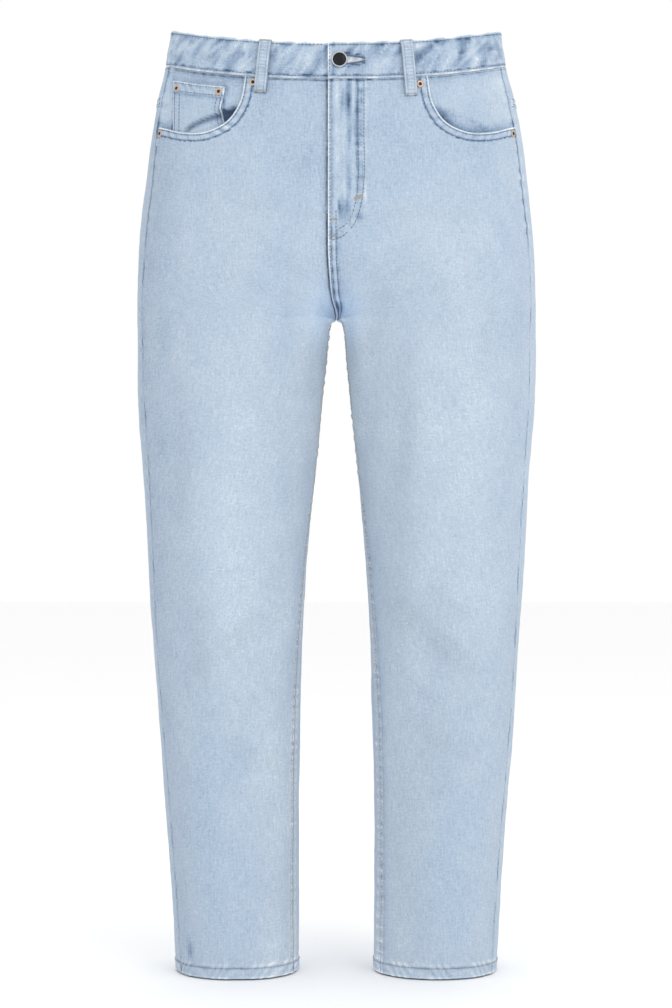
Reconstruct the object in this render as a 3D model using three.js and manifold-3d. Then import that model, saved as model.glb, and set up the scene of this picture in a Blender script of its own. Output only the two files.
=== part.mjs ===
// Straight high-waist jeans, filled out as if worn, with the inside left hollow.
// Millimetres, +Z up. The front faces -Y and the wearer's left is +X.
// The origin is the middle of the waist opening, level with its top edge at the side seams.

import * as THREE from 'three';
import { mergeVertices } from 'three/addons/utils/BufferGeometryUtils.js';
import Module from 'manifold-3d';

// Cloth thicknesses and clearances
const CLOTH = 1.4;
const BAND_CLOTH = 2.6;
const COIN_CLOTH = 1.2;
const PATCH_CLOTH = 1.3;
const LOOP_CLOTH = 1.6;
const SEAM_GAP = 0.3;
const LAYER_GAP = 0.35;
const POCKET_GAP = 0.7;
const FLY_GAP = 0.6;

// Main heights, measured down from the waist edge at the side seam
const BAND_HEIGHT = 38;
const BAND_SEAM = -BAND_HEIGHT - SEAM_GAP;
const FORK_START = -165;
const CROTCH = -303;
const HEM = -985;
const HEM_TURN = 12.5;
const HEM_EXTRA = 0.6;

// How far the waistline drops at the centre front and rises at the centre back
const FRONT_DIP = 27.7;
const BACK_RISE = 6;
const DIP_POWER = 1.6;
const DIP_FULL = -45;
const DIP_NONE = -230;

// Squareness of the rounded sections, and the radius that softens the fork of the legs
const SQUARENESS = 2.2;
const FORK_RADIUS = 7;
const FORK_EASE_IN = 1.5;
const FORK_EASE_OUT = 1.7;

// How strongly the points of a section crowd at the middle plane
const TURN_EASE = 0.14;

// Outer size of the body by level: half width, depth to front and back, and the side's own y
const BODY = [
  { level: 0, half: 173.3, front: 90, back: 93, sideY: 0, seamTurn: 14 },
  { level: -38, half: 178, front: 93, back: 98, sideY: 0, seamTurn: 15 },
  { level: -71, half: 186.4, front: 96, back: 105, sideY: 0, seamTurn: 16 },
  { level: -124, half: 195.8, front: 99, back: 116, sideY: 0, seamTurn: 17 },
  { level: -176, half: 202.1, front: 101, back: 123, sideY: 0, seamTurn: 18 },
  { level: -218, half: 206.3, front: 102, back: 125, sideY: 0, seamTurn: 19 },
  { level: -281, half: 209.2, front: 102, back: 120, sideY: 1, seamTurn: 22 },
  { level: -323, half: 209.2, front: 101, back: 113, sideY: 2, seamTurn: 25 },
  { level: -386, half: 207.9, front: 97, back: 104, sideY: 3, seamTurn: 26 },
  { level: -470, half: 202.7, front: 88, back: 97, sideY: 4, seamTurn: 26 },
  { level: -554, half: 197.4, front: 79, back: 90, sideY: 6, seamTurn: 25 },
  { level: -638, half: 192.7, front: 71, back: 85, sideY: 7, seamTurn: 23 },
  { level: -722, half: 186.9, front: 65, back: 83, sideY: 9, seamTurn: 23 },
  { level: -806, half: 180.6, front: 58, back: 81, sideY: 12, seamTurn: 25 },
  { level: -890, half: 174.8, front: 52, back: 79, sideY: 14, seamTurn: 27 },
  { level: -985, half: 169, front: 47, back: 77, sideY: 15, seamTurn: 26 },
];

// Inner side of one leg: distance from the middle plane, and how far the inseam sits forward of it
const INNER_LEG = [
  { level: -303, gap: 0, turn: 0 },
  { level: -304.5, gap: 4.8, turn: 0 },
  { level: -306.5, gap: 6.3, turn: 0 },
  { level: -313, gap: 7.9, turn: 0 },
  { level: -344, gap: 10.5, turn: 0 },
  { level: -386, gap: 15.2, turn: 1 },
  { level: -428, gap: 18.9, turn: 3 },
  { level: -512, gap: 27.3, turn: 10 },
  { level: -554, gap: 31, turn: 14 },
  { level: -638, gap: 35.7, turn: 19 },
  { level: -722, gap: 37.8, turn: 22 },
  { level: -806, gap: 39.9, turn: 23 },
  { level: -985, gap: 39.9, turn: 23 },
];

// Levels of the panels' rows, closer together where the legs fork
const ROW_LEVELS = [
  BAND_SEAM, -56, -76, -98, -120, -144, -168, -190, -203.5, -212, -228, -246, -262, -276, -287,
  -294.5, -299.5, -302, CROTCH, -303.6, -305, -308, -314, -326, -344, -368, -396, -426, -458,
  -492, -528, -564, -600, -636, -672, -708, -744, -780, -818, -856, -894, -934,
  HEM + HEM_TURN + SEAM_GAP, HEM + HEM_TURN, HEM,
];
const BACK_ROWS_FROM = -90;
const FRONT_COLUMNS = 12;
const FRONT_COLUMN_SPREAD = 1.1;
const BACK_COLUMNS = 15;

// Fly: the left front laps over the right one down to the foot of the fly
const FLY_EDGE = 8.85;
const FLY_UNDER = 4;
const FLY_FOOT = -190;
const FLY_CLOSED = -203.5;
const FLY_FLUSH = -212;
const FLY_SEAM_END = -235;
const FLY_SEAM_TURN = CROTCH + 23;
const FLY_SEAM_FOOT = CROTCH + 1;
const FLY_SEAM_KEPT = 0.6;
const FLY_RAMP_NEAR = 11;
const FLY_RAMP_FAR = 27;

// Waistband ends, lapped like the fronts, with the button between them
const BAND_COLUMNS = 84;
const BAND_OVERLAP = 8.9;
const BAND_UNDERLAP = 26;
const BAND_STEP_NEAR = 12;
const BAND_STEP_FAR = 38;

// Scooped front pocket opening, from the waistband seam to the side seam
const SCOOP = [
  { x: 90, z: -40 }, { x: 92.5, z: -62 }, { x: 98, z: -90 }, { x: 110, z: -107.5 },
  { x: 131, z: -117 }, { x: 158, z: -115.5 }, { x: 186, z: -105 }, { x: 206, z: -98 },
];
const SCOOP_STEPS = 26;
const SCOOP_TOP = -20;
const SCOOP_OUT = 240;
const SCOOP_DEPTH = { from: -170, to: -4 };
const FACING = { innerX: 80, bottom: -122, columns: 9, rows: 7, blendFrom: 1, blendTo: 14 };
const COIN_POCKET = { innerX: 114, outerX: 170, top: -51, bottom: -119, columns: 5, rows: 5 };

// Back yoke and back pockets, with arcs measured from the centre back seam
const YOKE = { sideDepth: 40, centreDepth: 68, rows: 4 };
const YOKE_FADE = -215;
const BACK_POCKET = {
  middle: 98, topWidth: 144, bottomWidth: 122, top: -120, side: -240, point: 19, lean: 7,
  columns: 10, rows: 8,
};

// Belt loops, by their place round the waist at the top and at the bottom
const LOOP = { width: 12.7, bow: 2.8, columns: 2, rows: 8 };
const LOOP_PLACES = [
  { name: 'belt_loop_1', from: 'front', top: -72, bottom: -77.5, end: -55.5 },
  { name: 'belt_loop_2', from: 'front', top: 70.8, bottom: 76, end: -58.5 },
  { name: 'belt_loop_3', from: 'back', top: -122, bottom: -126, end: -58.5 },
  { name: 'belt_loop_4', from: 'back', top: 122, bottom: 126, end: -58.5 },
  { name: 'belt_loop_5', from: 'back', top: 0, bottom: 0, end: -58.5 },
];

// Button, its hole and the rivets
const BUTTON = { x: 3, level: -19, sides: 22 };
const BUTTON_NECK = 2.8;
const BUTTON_RIM = 8.4;
const BUTTON_CAP = 6.7;
const BUTTON_EDGE_HEIGHT = 1.6;
const BUTTON_BEVEL_HEIGHT = 2.8;
const BUTTON_GROOVE_HEIGHT = 2.5;
const BUTTON_HEIGHT = 3.6;
const BUTTON_BEVEL = 1.2;
const BUTTON_TOP = 4.8;
const BUTTONHOLE = { start: -1.2, round: 4.1, tip: 29.4, least: 0.3, columns: 10 };
const RIVET_SIDES = 12;
const RIVET_PROFILE = [[0, 0], [3.8, 0], [3.8, 0.5], [2.85, 1.05], [1.9, 0.85], [1.4, 1.4], [0, 1.4]];
const RIVET_PLACES = [
  { name: 'rivet_1', side: -1, x: 165.6, level: -58.5, lift: -CLOTH - POCKET_GAP },
  { name: 'rivet_2', side: -1, x: 120.5, level: -56.5, lift: -CLOTH - POCKET_GAP },
  { name: 'rivet_3', side: -1, x: 84.5, level: -44.5, lift: 0 },
  { name: 'rivet_4', side: 1, x: 84.5, level: -46.5, lift: 0 },
  { name: 'rivet_5', side: -1, x: 182, level: -108.5, lift: 0 },
  { name: 'rivet_6', side: 1, x: 182, level: -108.5, lift: 0 },
];

// Largest folds: side, face (-1 front, 1 back), middle, half length, half width, depth and tilt
const FOLDS = [
  { side: 1, face: -1, x: 104, z: -640, long: 52, wide: 13, depth: -3.4, tilt: -38 },
  { side: 1, face: -1, x: 112, z: -745, long: 36, wide: 11, depth: -2.2, tilt: -30 },
  { side: 1, face: -1, x: 66, z: -420, long: 66, wide: 14, depth: -2.6, tilt: 84 },
  { side: -1, face: -1, x: -160, z: -478, long: 78, wide: 13, depth: -2.2, tilt: 88 },
  { side: -1, face: -1, x: -98, z: -632, long: 50, wide: 13, depth: -3, tilt: 34 },
  { side: -1, face: -1, x: -84, z: -756, long: 40, wide: 11, depth: -2.2, tilt: -24 },
  { side: 1, face: -1, x: 70, z: -205, long: 62, wide: 9, depth: -1.6, tilt: 8 },
  { side: -1, face: -1, x: -74, z: -196, long: 58, wide: 9, depth: -1.4, tilt: -10 },
  { side: 1, face: 1, x: 112, z: -610, long: 58, wide: 12, depth: -3.6, tilt: 18 },
  { side: 1, face: 1, x: 104, z: -668, long: 48, wide: 11, depth: -2.8, tilt: -14 },
  { side: -1, face: 1, x: -110, z: -622, long: 60, wide: 12, depth: -3.4, tilt: -20 },
  { side: -1, face: 1, x: -108, z: -684, long: 46, wide: 11, depth: -2.6, tilt: 12 },
  { side: 1, face: 1, x: 78, z: -318, long: 54, wide: 12, depth: -3, tilt: 24 },
  { side: -1, face: 1, x: -80, z: -322, long: 50, wide: 12, depth: -2.8, tilt: -26 },
];

// How squarely a fold's face must look to the front or back for the fold to start and to be full
const FOLD_FACING_FROM = 0.15;
const FOLD_FACING_FULL = 0.6;

// Finishes
const FINISH = {
  denim: { color: 0xbccddf, roughness: 0.9, metalness: 0 },
  darkDenim: { color: 0xa4b6c9, roughness: 0.92, metalness: 0 },
  buttonMetal: { color: 0x26272a, roughness: 0.4, metalness: 0.8 },
  copper: { color: 0xb77f5c, roughness: 0.4, metalness: 0.9 },
};

const wasm = await Module();
wasm.setup();

const rad = THREE.MathUtils.degToRad;
const signedPower = (value, power) => Math.sign(value) * Math.abs(value) ** power;
const smooth = (from, to, value) => {
  const t = Math.min(1, Math.max(0, (value - from) / (to - from)));
  return t * t * (3 - 2 * t);
};

// A smooth curve through one column of a table, read at any level
function tableCurve(rows, key) {
  const slope = rows.map((row, i) => {
    const before = rows[Math.max(0, i - 1)];
    const after = rows[Math.min(rows.length - 1, i + 1)];
    return (after[key] - before[key]) / (after.level - before.level);
  });
  return (level) => {
    let i = 0;
    while (i < rows.length - 2 && level < rows[i + 1].level) i += 1;
    const span = rows[i + 1].level - rows[i].level;
    const t = Math.min(1, Math.max(0, (level - rows[i].level) / span));
    const t2 = t * t;
    const t3 = t2 * t;
    return (2 * t3 - 3 * t2 + 1) * rows[i][key] + (t3 - 2 * t2 + t) * span * slope[i]
      + (3 * t2 - 2 * t3) * rows[i + 1][key] + (t3 - t2) * span * slope[i + 1];
  };
}

const half = tableCurve(BODY, 'half');
const front = tableCurve(BODY, 'front');
const back = tableCurve(BODY, 'back');
const sideY = tableCurve(BODY, 'sideY');
const seamTurn = tableCurve(BODY, 'seamTurn');
const innerTurn = tableCurve(INNER_LEG, 'turn');

// Inner side of the leg by straight steps, so that the fork stays as tight as the table says
function legGap(level) {
  let i = 0;
  while (i < INNER_LEG.length - 2 && level < INNER_LEG[i + 1].level) i += 1;
  const span = INNER_LEG[i + 1].level - INNER_LEG[i].level;
  const t = Math.min(1, Math.max(0, (level - INNER_LEG[i].level) / span));
  return INNER_LEG[i].gap + t * (INNER_LEG[i + 1].gap - INNER_LEG[i].gap);
}

// Innermost x of the whole rounded loop: the far side of the waist above the fork, and the
// leg's own inner side, widened by the fork's radius, below it
function loopInner(level) {
  if (level >= FORK_START) return -half(level);
  if (level >= CROTCH) {
    const down = (FORK_START - level) / (FORK_START - CROTCH);
    const left = (1 - down ** FORK_EASE_IN) ** FORK_EASE_OUT;
    return FORK_RADIUS - (half(level) + FORK_RADIUS) * left;
  }
  return Math.hypot(legGap(level), FORK_RADIUS);
}

// Half section at one level, as points from the centre front (or inseam) round the side to the
// centre back (or inseam), with the length along it and the place of the side seam
const sections = new Map();
const SECTION_STEPS = 220;
function section(level) {
  const key = level.toFixed(4);
  if (sections.has(key)) return sections.get(key);
  const inner = loopInner(level);
  const middle = (half(level) + inner) / 2;
  const radius = (half(level) - inner) / 2;
  const line = sideY(level);
  const isLeg = level < CROTCH;
  const cut = Math.asin(signedPower(Math.max(-1, (FORK_RADIUS - middle) / radius), SQUARENESS / 2));
  const start = isLeg ? rad(-90 + innerTurn(level)) : cut;
  const end = isLeg ? start + 2 * Math.PI : Math.PI - cut;
  const points = [];
  for (let i = 0; i <= SECTION_STEPS; i += 1) {
    const u = i / SECTION_STEPS;
    const turn = start + (end - start) * (u - TURN_EASE * Math.sin(2 * Math.PI * u));
    const raw = middle + radius * signedPower(Math.sin(turn), 2 / SQUARENESS);
    const depth = Math.cos(turn) > 0 ? front(level) + line : back(level) - line;
    const share = signedPower(Math.cos(turn), 2 / SQUARENESS);
    points.push({ turn, x: Math.sqrt(Math.max(0, raw * raw - FORK_RADIUS ** 2)), y: line - depth * share });
  }
  points[0].arc = 0;
  for (let i = 1; i <= SECTION_STEPS; i += 1) {
    const step = Math.hypot(points[i].x - points[i - 1].x, points[i].y - points[i - 1].y);
    points[i].arc = points[i - 1].arc + step;
  }
  const result = { points, isLeg, length: points[SECTION_STEPS].arc };
  result.seam = readAlong(points, 'turn', rad(90 - seamTurn(level)), 'arc');
  sections.set(key, result);
  return result;
}

// Value of one column where another, rising, column has the given value
function readAlong(points, by, value, key) {
  let low = 0;
  let high = points.length - 1;
  while (high - low > 1) {
    const mid = (low + high) >> 1;
    if (points[mid][by] <= value) low = mid;
    else high = mid;
  }
  const span = points[high][by] - points[low][by];
  const t = span > 0 ? (value - points[low][by]) / span : 0;
  return points[low][key] + t * (points[high][key] - points[low][key]);
}

// Arc from the centre front to a given x, on the front of the wearer's left half, by halving
const HALVINGS = 40;
function arcAtX(level, x) {
  const { points, seam } = section(level);
  let low = 0;
  let high = seam;
  for (let i = 0; i < HALVINGS; i += 1) {
    const mid = (low + high) / 2;
    if (readAlong(points, 'arc', mid, 'x') < x) low = mid;
    else high = mid;
  }
  return low;
}

// Point on the smooth outer surface of the wearer's left half. Past the centre it mirrors over
// above the fork, and goes on round the loop on a leg
function bodyPoint(level, arc) {
  const { points, isLeg, length } = section(level);
  let along = arc;
  let mirror = 1;
  if (isLeg) along = ((arc % length) + length) % length;
  else if (arc < 0) {
    along = -arc;
    mirror = -1;
  } else if (arc > length) {
    along = 2 * length - arc;
    mirror = -1;
  }
  const x = readAlong(points, 'arc', along, 'x');
  const y = readAlong(points, 'arc', along, 'y');
  const line = sideY(level);
  const turn = y < line ? (line - y) / (front(level) + line) : (y - line) / (back(level) - line);
  const drop = y < line ? -FRONT_DIP * turn ** DIP_POWER : BACK_RISE * turn * turn;
  return new THREE.Vector3(mirror * x, y, level + drop * smooth(DIP_NONE, DIP_FULL, level));
}

// Outward direction of the smooth surface
function bodyNormal(level, arc) {
  const step = 0.4;
  const along = bodyPoint(level, arc + step).sub(bodyPoint(level, arc - step));
  const up = bodyPoint(level + step, arc).sub(bodyPoint(level - step, arc));
  return along.cross(up).normalize();
}

// Depth of the folds at a point, each a soft trough along its own line
function foldDepth(side, point, normal) {
  let depth = 0;
  for (const fold of FOLDS) {
    if (fold.side !== side || fold.face * normal.y < FOLD_FACING_FROM) continue;
    const tilt = rad(fold.tilt);
    const dx = side * point.x - fold.x;
    const dz = point.z - fold.z;
    const along = (dx * Math.cos(tilt) + dz * Math.sin(tilt)) / fold.long;
    const across = (dz * Math.cos(tilt) - dx * Math.sin(tilt)) / fold.wide;
    const facing = smooth(FOLD_FACING_FROM, FOLD_FACING_FULL, Math.abs(normal.y));
    depth += fold.depth * facing * Math.exp(-along * along - across * across);
  }
  return depth;
}

// Point of the cloth: side 1 is the wearer's left, and lift moves it out along the surface
function clothPoint(side, level, arc, lift) {
  const point = bodyPoint(level, arc);
  const normal = bodyNormal(level, arc);
  const move = lift + foldDepth(side, point, normal);
  point.addScaledVector(normal, move);
  point.x *= side;
  return point;
}

// The same, all round the waist: place runs from the centre front by the wearer's left
function ringPoint(level, place, lift) {
  const { length } = section(level);
  const turn = 2 * length;
  const at = place > turn ? place - turn : place;
  if (at > length) return clothPoint(-1, level, turn - at, lift);
  return at < 0 ? clothPoint(-1, level, -at, lift) : clothPoint(1, level, at, lift);
}

// Closed wall between an outer and an inner grid of points, rows going down, columns going
// round by the wearer's left; turned says that the columns run the other way
function wall(rows, columns, outer, inner, turned = false) {
  const positions = [];
  const index = [];
  const across = columns + 1;
  const layer = (rows + 1) * across;
  for (const side of [outer, inner]) {
    for (let i = 0; i <= rows; i += 1) {
      for (let j = 0; j <= columns; j += 1) positions.push(...side(i, j).toArray());
    }
  }
  const quad = (a, b, c, d) => {
    if (turned) index.push(a, c, b, a, d, c);
    else index.push(a, b, c, a, c, d);
  };
  for (let i = 0; i < rows; i += 1) {
    for (let j = 0; j < columns; j += 1) {
      const a = i * across + j;
      quad(a, a + across, a + across + 1, a + 1);
      quad(layer + a, layer + a + 1, layer + a + across + 1, layer + a + across);
    }
  }
  const rim = [];
  for (let i = 0; i < rows; i += 1) rim.push([i * across, (i + 1) * across]);
  for (let j = 0; j < columns; j += 1) rim.push([rows * across + j, rows * across + j + 1]);
  for (let i = rows; i > 0; i -= 1) rim.push([i * across + columns, (i - 1) * across + columns]);
  for (let j = columns; j > 0; j -= 1) rim.push([j, j - 1]);
  for (const [a, b] of rim) quad(a, layer + a, layer + b, b);
  const geometry = new THREE.BufferGeometry();
  geometry.setAttribute('position', new THREE.Float32BufferAttribute(positions, 3));
  geometry.setIndex(index);
  return geometry;
}

function toSolid(geometry) {
  const bare = geometry.clone();
  bare.deleteAttribute('normal');
  bare.deleteAttribute('uv');
  const merged = mergeVertices(bare);
  return new wasm.Manifold(new wasm.Mesh({
    numProp: 3,
    vertProperties: new Float32Array(merged.attributes.position.array),
    triVerts: new Uint32Array(merged.index.array),
  }));
}

function fromSolid(solid) {
  const mesh = solid.getMesh();
  const geometry = new THREE.BufferGeometry();
  geometry.setAttribute('position', new THREE.Float32BufferAttribute(mesh.vertProperties, 3));
  geometry.setIndex(Array.from(mesh.triVerts));
  return geometry;
}

const jeans = new THREE.Group();

function addPiece(name, geometry, finish) {
  const mesh = new THREE.Mesh(geometry, new THREE.MeshStandardMaterial(FINISH[finish]));
  mesh.name = name;
  jeans.add(mesh);
  return mesh;
}

// Seam line between the two fronts, from the fly's edge back to the middle at the fork
const frontSeam = (level) => {
  const drift = smooth(FLY_SEAM_FOOT, FLY_SEAM_END, level);
  const turn = smooth(FLY_SEAM_FOOT, FLY_SEAM_TURN, level);
  return FLY_EDGE * (FLY_SEAM_KEPT * turn + (1 - FLY_SEAM_KEPT) * drift);
};

// Centre edge of a front, as an arc from the middle on its own side
function frontEdge(side, level) {
  if (side > 0) return SEAM_GAP / 2 - frontSeam(level);
  const closed = frontSeam(level) + SEAM_GAP / 2;
  const open = smooth(FLY_CLOSED, FLY_FOOT, level);
  return closed - open * (closed + FLY_UNDER);
}

// The right front sinks under the left one along the fly
function frontLift(side, level, arc) {
  if (side > 0) return 0;
  const under = smooth(FLY_FLUSH, FLY_CLOSED, level);
  return -(CLOTH + FLY_GAP) * under * smooth(FLY_RAMP_FAR, FLY_RAMP_NEAR, arc);
}

// Turned hem: the last rows of a leg are a little thicker, outside and inside
function hemExtra(level) {
  return level <= HEM + HEM_TURN ? HEM_EXTRA : 0;
}

// Cutter of the scooped opening: all that lies outside and above its curved edge
function scoopCutter(side) {
  const edge = new THREE.SplineCurve(SCOOP.map(({ x, z }) => new THREE.Vector2(x, z)));
  const outline = new THREE.Shape([
    ...edge.getPoints(SCOOP_STEPS),
    new THREE.Vector2(SCOOP_OUT, SCOOP[SCOOP.length - 1].z),
    new THREE.Vector2(SCOOP_OUT, SCOOP_TOP),
    new THREE.Vector2(SCOOP[0].x, SCOOP_TOP),
  ]);
  const depth = SCOOP_DEPTH.to - SCOOP_DEPTH.from;
  const cutter = new THREE.ExtrudeGeometry(outline, { depth, bevelEnabled: false });
  cutter.rotateX(Math.PI / 2);
  cutter.translate(0, SCOOP_DEPTH.to, 0);
  return side > 0 ? cutter : mirrored(cutter);
}

// Mirror a closed geometry across the middle plane, with its faces kept pointing out
function mirrored(geometry) {
  const copy = geometry.index ? geometry.toNonIndexed() : geometry.clone();
  const { array } = copy.attributes.position;
  for (let i = 0; i < array.length; i += 9) {
    for (let k = 0; k < 3; k += 1) {
      const keep = array[i + 3 + k];
      array[i + 3 + k] = array[i + 6 + k];
      array[i + 6 + k] = keep;
    }
    for (const k of [0, 3, 6]) array[i + k] *= -1;
  }
  return copy;
}

function frontPanel(side) {
  const place = (i, j) => {
    const level = ROW_LEVELS[i];
    const from = frontEdge(side, level);
    const to = section(level).seam - SEAM_GAP / 2;
    const arc = from + (to - from) * (j / FRONT_COLUMNS) ** FRONT_COLUMN_SPREAD;
    return { level, arc };
  };
  const grid = (thick, hemSide) => (i, j) => {
    const { level, arc } = place(i, j);
    const lift = frontLift(side, level, arc) - thick + hemSide * hemExtra(level);
    return clothPoint(side, level, arc, lift);
  };
  const rows = ROW_LEVELS.length - 1;
  const whole = wall(rows, FRONT_COLUMNS, grid(0, 1), grid(CLOTH, -1), side < 0);
  return fromSolid(toSolid(whole).subtract(toSolid(scoopCutter(side))));
}

// Level of the yoke's lower edge: share is 0 at the side seam and 1 at the centre back
const yokeEdge = (share) => BAND_SEAM - YOKE.sideDepth - (YOKE.centreDepth - YOKE.sideDepth) * share;

function backArc(level, share) {
  const { seam, length } = section(level);
  return seam + SEAM_GAP / 2 + (length - seam - SEAM_GAP) * share;
}

function yoke(side) {
  const grid = (thick) => (i, j) => {
    const share = j / BACK_COLUMNS;
    const level = BAND_SEAM + (yokeEdge(share) - BAND_SEAM) * (i / YOKE.rows);
    return clothPoint(side, level, backArc(level, share), -thick);
  };
  return wall(YOKE.rows, BACK_COLUMNS, grid(0), grid(CLOTH), side < 0);
}

const BACK_LEVELS = [yokeEdge(0) - SEAM_GAP, ...ROW_LEVELS.filter((level) => level < BACK_ROWS_FROM)];

function backPanel(side) {
  const grid = (thick, hemSide) => (i, j) => {
    const share = j / BACK_COLUMNS;
    const start = BACK_LEVELS[0];
    const topLevel = yokeEdge(share) - SEAM_GAP;
    const near = Math.max(0, (BACK_LEVELS[i] - YOKE_FADE) / (start - YOKE_FADE));
    const level = BACK_LEVELS[i] + (topLevel - start) * near;
    const lift = hemSide * hemExtra(level) - thick;
    return clothPoint(side, level, backArc(level, share), lift);
  };
  const rows = BACK_LEVELS.length - 1;
  return wall(rows, BACK_COLUMNS, grid(0, 1), grid(CLOTH, -1), side < 0);
}

// Waistband: its right end steps in under the left end
function waistband() {
  const levels = [0, -BAND_HEIGHT / 2, -BAND_HEIGHT];
  const grid = (thick) => (i, j) => {
    const { length } = section(levels[i]);
    const from = -BAND_OVERLAP;
    const to = 2 * length + BAND_UNDERLAP;
    const place = from + (to - from) * (j / BAND_COLUMNS);
    const left = 2 * length - place;
    const step = smooth(BAND_STEP_FAR, BAND_STEP_NEAR, left);
    return ringPoint(levels[i], place, -thick - (BAND_CLOTH + LAYER_GAP) * step);
  };
  const band = wall(levels.length - 1, BAND_COLUMNS, grid(0), grid(BAND_CLOTH));
  return fromSolid(toSolid(band).subtract(toSolid(buttonhole())));
}

// Cutter of the buttonhole: round at the button, and drawn to a point away from it
function buttonhole() {
  const { start, round, tip, least, columns } = BUTTONHOLE;
  const reach = (x) => {
    const inRound = Math.max(0, 1 - ((x - start - round) / round) ** 2);
    if (x < start + round) return Math.max(least, round * Math.sqrt(inRound));
    return Math.max(least, round * Math.sqrt(1 - ((x - start - round) / (tip - start - round)) ** 2));
  };
  const grid = (lift) => (i, j) => {
    const x = start + (tip - start) * (1 - Math.cos((Math.PI * j) / columns)) / 2;
    return ringPoint(BUTTON.level + reach(x) * (1 - 2 * i), x, lift);
  };
  return wall(1, columns, grid(LOOP_CLOTH), grid(-BAND_CLOTH - LAYER_GAP / 2));
}

// Layer of cloth on the front between two values of x, as the facing and coin pocket are
function frontPatch(side, area, cloth, lift) {
  const grid = (thick) => (i, j) => {
    const level = area.top + (area.bottom - area.top) * (i / area.rows);
    const from = arcAtX(level, area.innerX);
    const outer = area.outerX ? arcAtX(level, area.outerX) : section(level).seam - SEAM_GAP / 2;
    const arc = from + (outer - from) * (j / area.columns);
    return clothPoint(side, level, arc, lift(level, arc) - thick);
  };
  return wall(area.rows, area.columns, grid(0), grid(cloth), side < 0);
}

const underFront = -CLOTH - POCKET_GAP;
const underCoin = underFront - COIN_CLOTH - LAYER_GAP;

function facing(side) {
  const area = { ...FACING, top: BAND_SEAM };
  const low = side < 0 ? underCoin : underFront;
  const lift = (level, arc) => {
    const toSeam = section(level).seam - arc;
    return underFront + (low - underFront) * smooth(FACING.blendFrom, FACING.blendTo, toSeam);
  };
  return frontPatch(side, area, CLOTH, lift);
}

function backPocket(side) {
  const { middle, topWidth, bottomWidth, top, side: sideEnd, point, lean, columns, rows } = BACK_POCKET;
  const grid = (lift) => (i, j) => {
    const down = i / rows;
    const across = j / columns - 0.5;
    const foot = sideEnd - point * (1 - Math.abs(2 * across));
    const level = top + (foot - top) * down;
    const width = topWidth + (bottomWidth - topWidth) * down;
    const fromCentre = middle + lean * down - across * width;
    return clothPoint(side, level, section(level).length - fromCentre, lift);
  };
  return wall(rows, columns, grid(POCKET_GAP + PATCH_CLOTH), grid(POCKET_GAP), side < 0);
}

function beltLoop({ from, top, bottom, end }) {
  const levels = Array.from({ length: LOOP.rows + 1 }, (_, i) => (end * i) / LOOP.rows);
  const grid = (lift) => (i, j) => {
    const down = i / LOOP.rows;
    const level = levels[i];
    const { length } = section(level);
    const start = from === 'back' ? length : 0;
    const across = (j / LOOP.columns - 0.5) * LOOP.width;
    const place = start + top + (bottom - top) * down + across;
    const bow = LOOP.bow * (1 - (2 * down - 1) ** 4);
    return ringPoint(level, place, LAYER_GAP + bow + lift);
  };
  return wall(LOOP.rows, LOOP.columns, grid(LOOP_CLOTH), grid(0));
}

// Turned solid with its axis along +Z, its foot at z = 0
function turned(profile, sides) {
  const points = profile.map(([radius, height]) => new THREE.Vector2(radius, height));
  return new THREE.LatheGeometry(points, sides).rotateX(Math.PI / 2);
}

// Stand a turned solid on the cloth, its axis along the surface's outward direction
function standOn(mesh, side, level, arc, lift) {
  const foot = clothPoint(side, level, arc, lift);
  const ahead = clothPoint(side, level, arc, lift + 1).sub(foot);
  mesh.position.copy(foot);
  mesh.quaternion.setFromUnitVectors(new THREE.Vector3(0, 0, 1), ahead.normalize());
}

function button() {
  const neck = BAND_CLOTH + LAYER_GAP;
  return turned([
    [0, 0], [BUTTON_NECK, 0], [BUTTON_NECK, neck], [BUTTON_RIM, neck],
    [BUTTON_RIM, neck + BUTTON_EDGE_HEIGHT], [BUTTON_RIM - BUTTON_BEVEL, neck + BUTTON_BEVEL_HEIGHT],
    [BUTTON_CAP, neck + BUTTON_GROOVE_HEIGHT], [BUTTON_TOP, neck + BUTTON_HEIGHT], [0, neck + BUTTON_HEIGHT],
  ], BUTTON.sides);
}

for (const [side, name] of [[1, 'left'], [-1, 'right']]) {
  addPiece(`front_${name}`, frontPanel(side), 'denim');
  addPiece(`back_${name}`, backPanel(side), 'denim');
  addPiece(`yoke_${name}`, yoke(side), 'denim');
  addPiece(`pocket_facing_${name}`, facing(side), 'darkDenim');
  addPiece(`back_pocket_${name}`, backPocket(side), 'denim');
}
addPiece('coin_pocket', frontPatch(-1, COIN_POCKET, COIN_CLOTH, () => underFront), 'denim');
addPiece('waistband', waistband(), 'darkDenim');
for (const place of LOOP_PLACES) addPiece(place.name, beltLoop(place), 'darkDenim');
standOn(addPiece('button', button(), 'buttonMetal'), 1, BUTTON.level, BUTTON.x, -BAND_CLOTH);
for (const { name, side, x, level, lift } of RIVET_PLACES) {
  const rivet = addPiece(name, turned(RIVET_PROFILE, RIVET_SIDES), 'copper');
  standOn(rivet, side, level, arcAtX(level, x), lift + LAYER_GAP);
}

export default jeans;
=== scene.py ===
"""Dresses the straight high-waist jeans in light washed denim, filled out with no wearer.

All shapes are worked out in millimetres on one smooth surface, the body of the jeans, and
are turned to metres where a mesh is made. +Z is up, -Y is the front, +X the wearer's left.
A place on the cloth is a level, its height at the side seam, and an arc, its distance round
from the centre front or the inseam. Side 1 is the wearer's left, and side -1 the right.
"""

from __future__ import annotations

import logging
from dataclasses import dataclass
from enum import Enum
from typing import Callable

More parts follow.
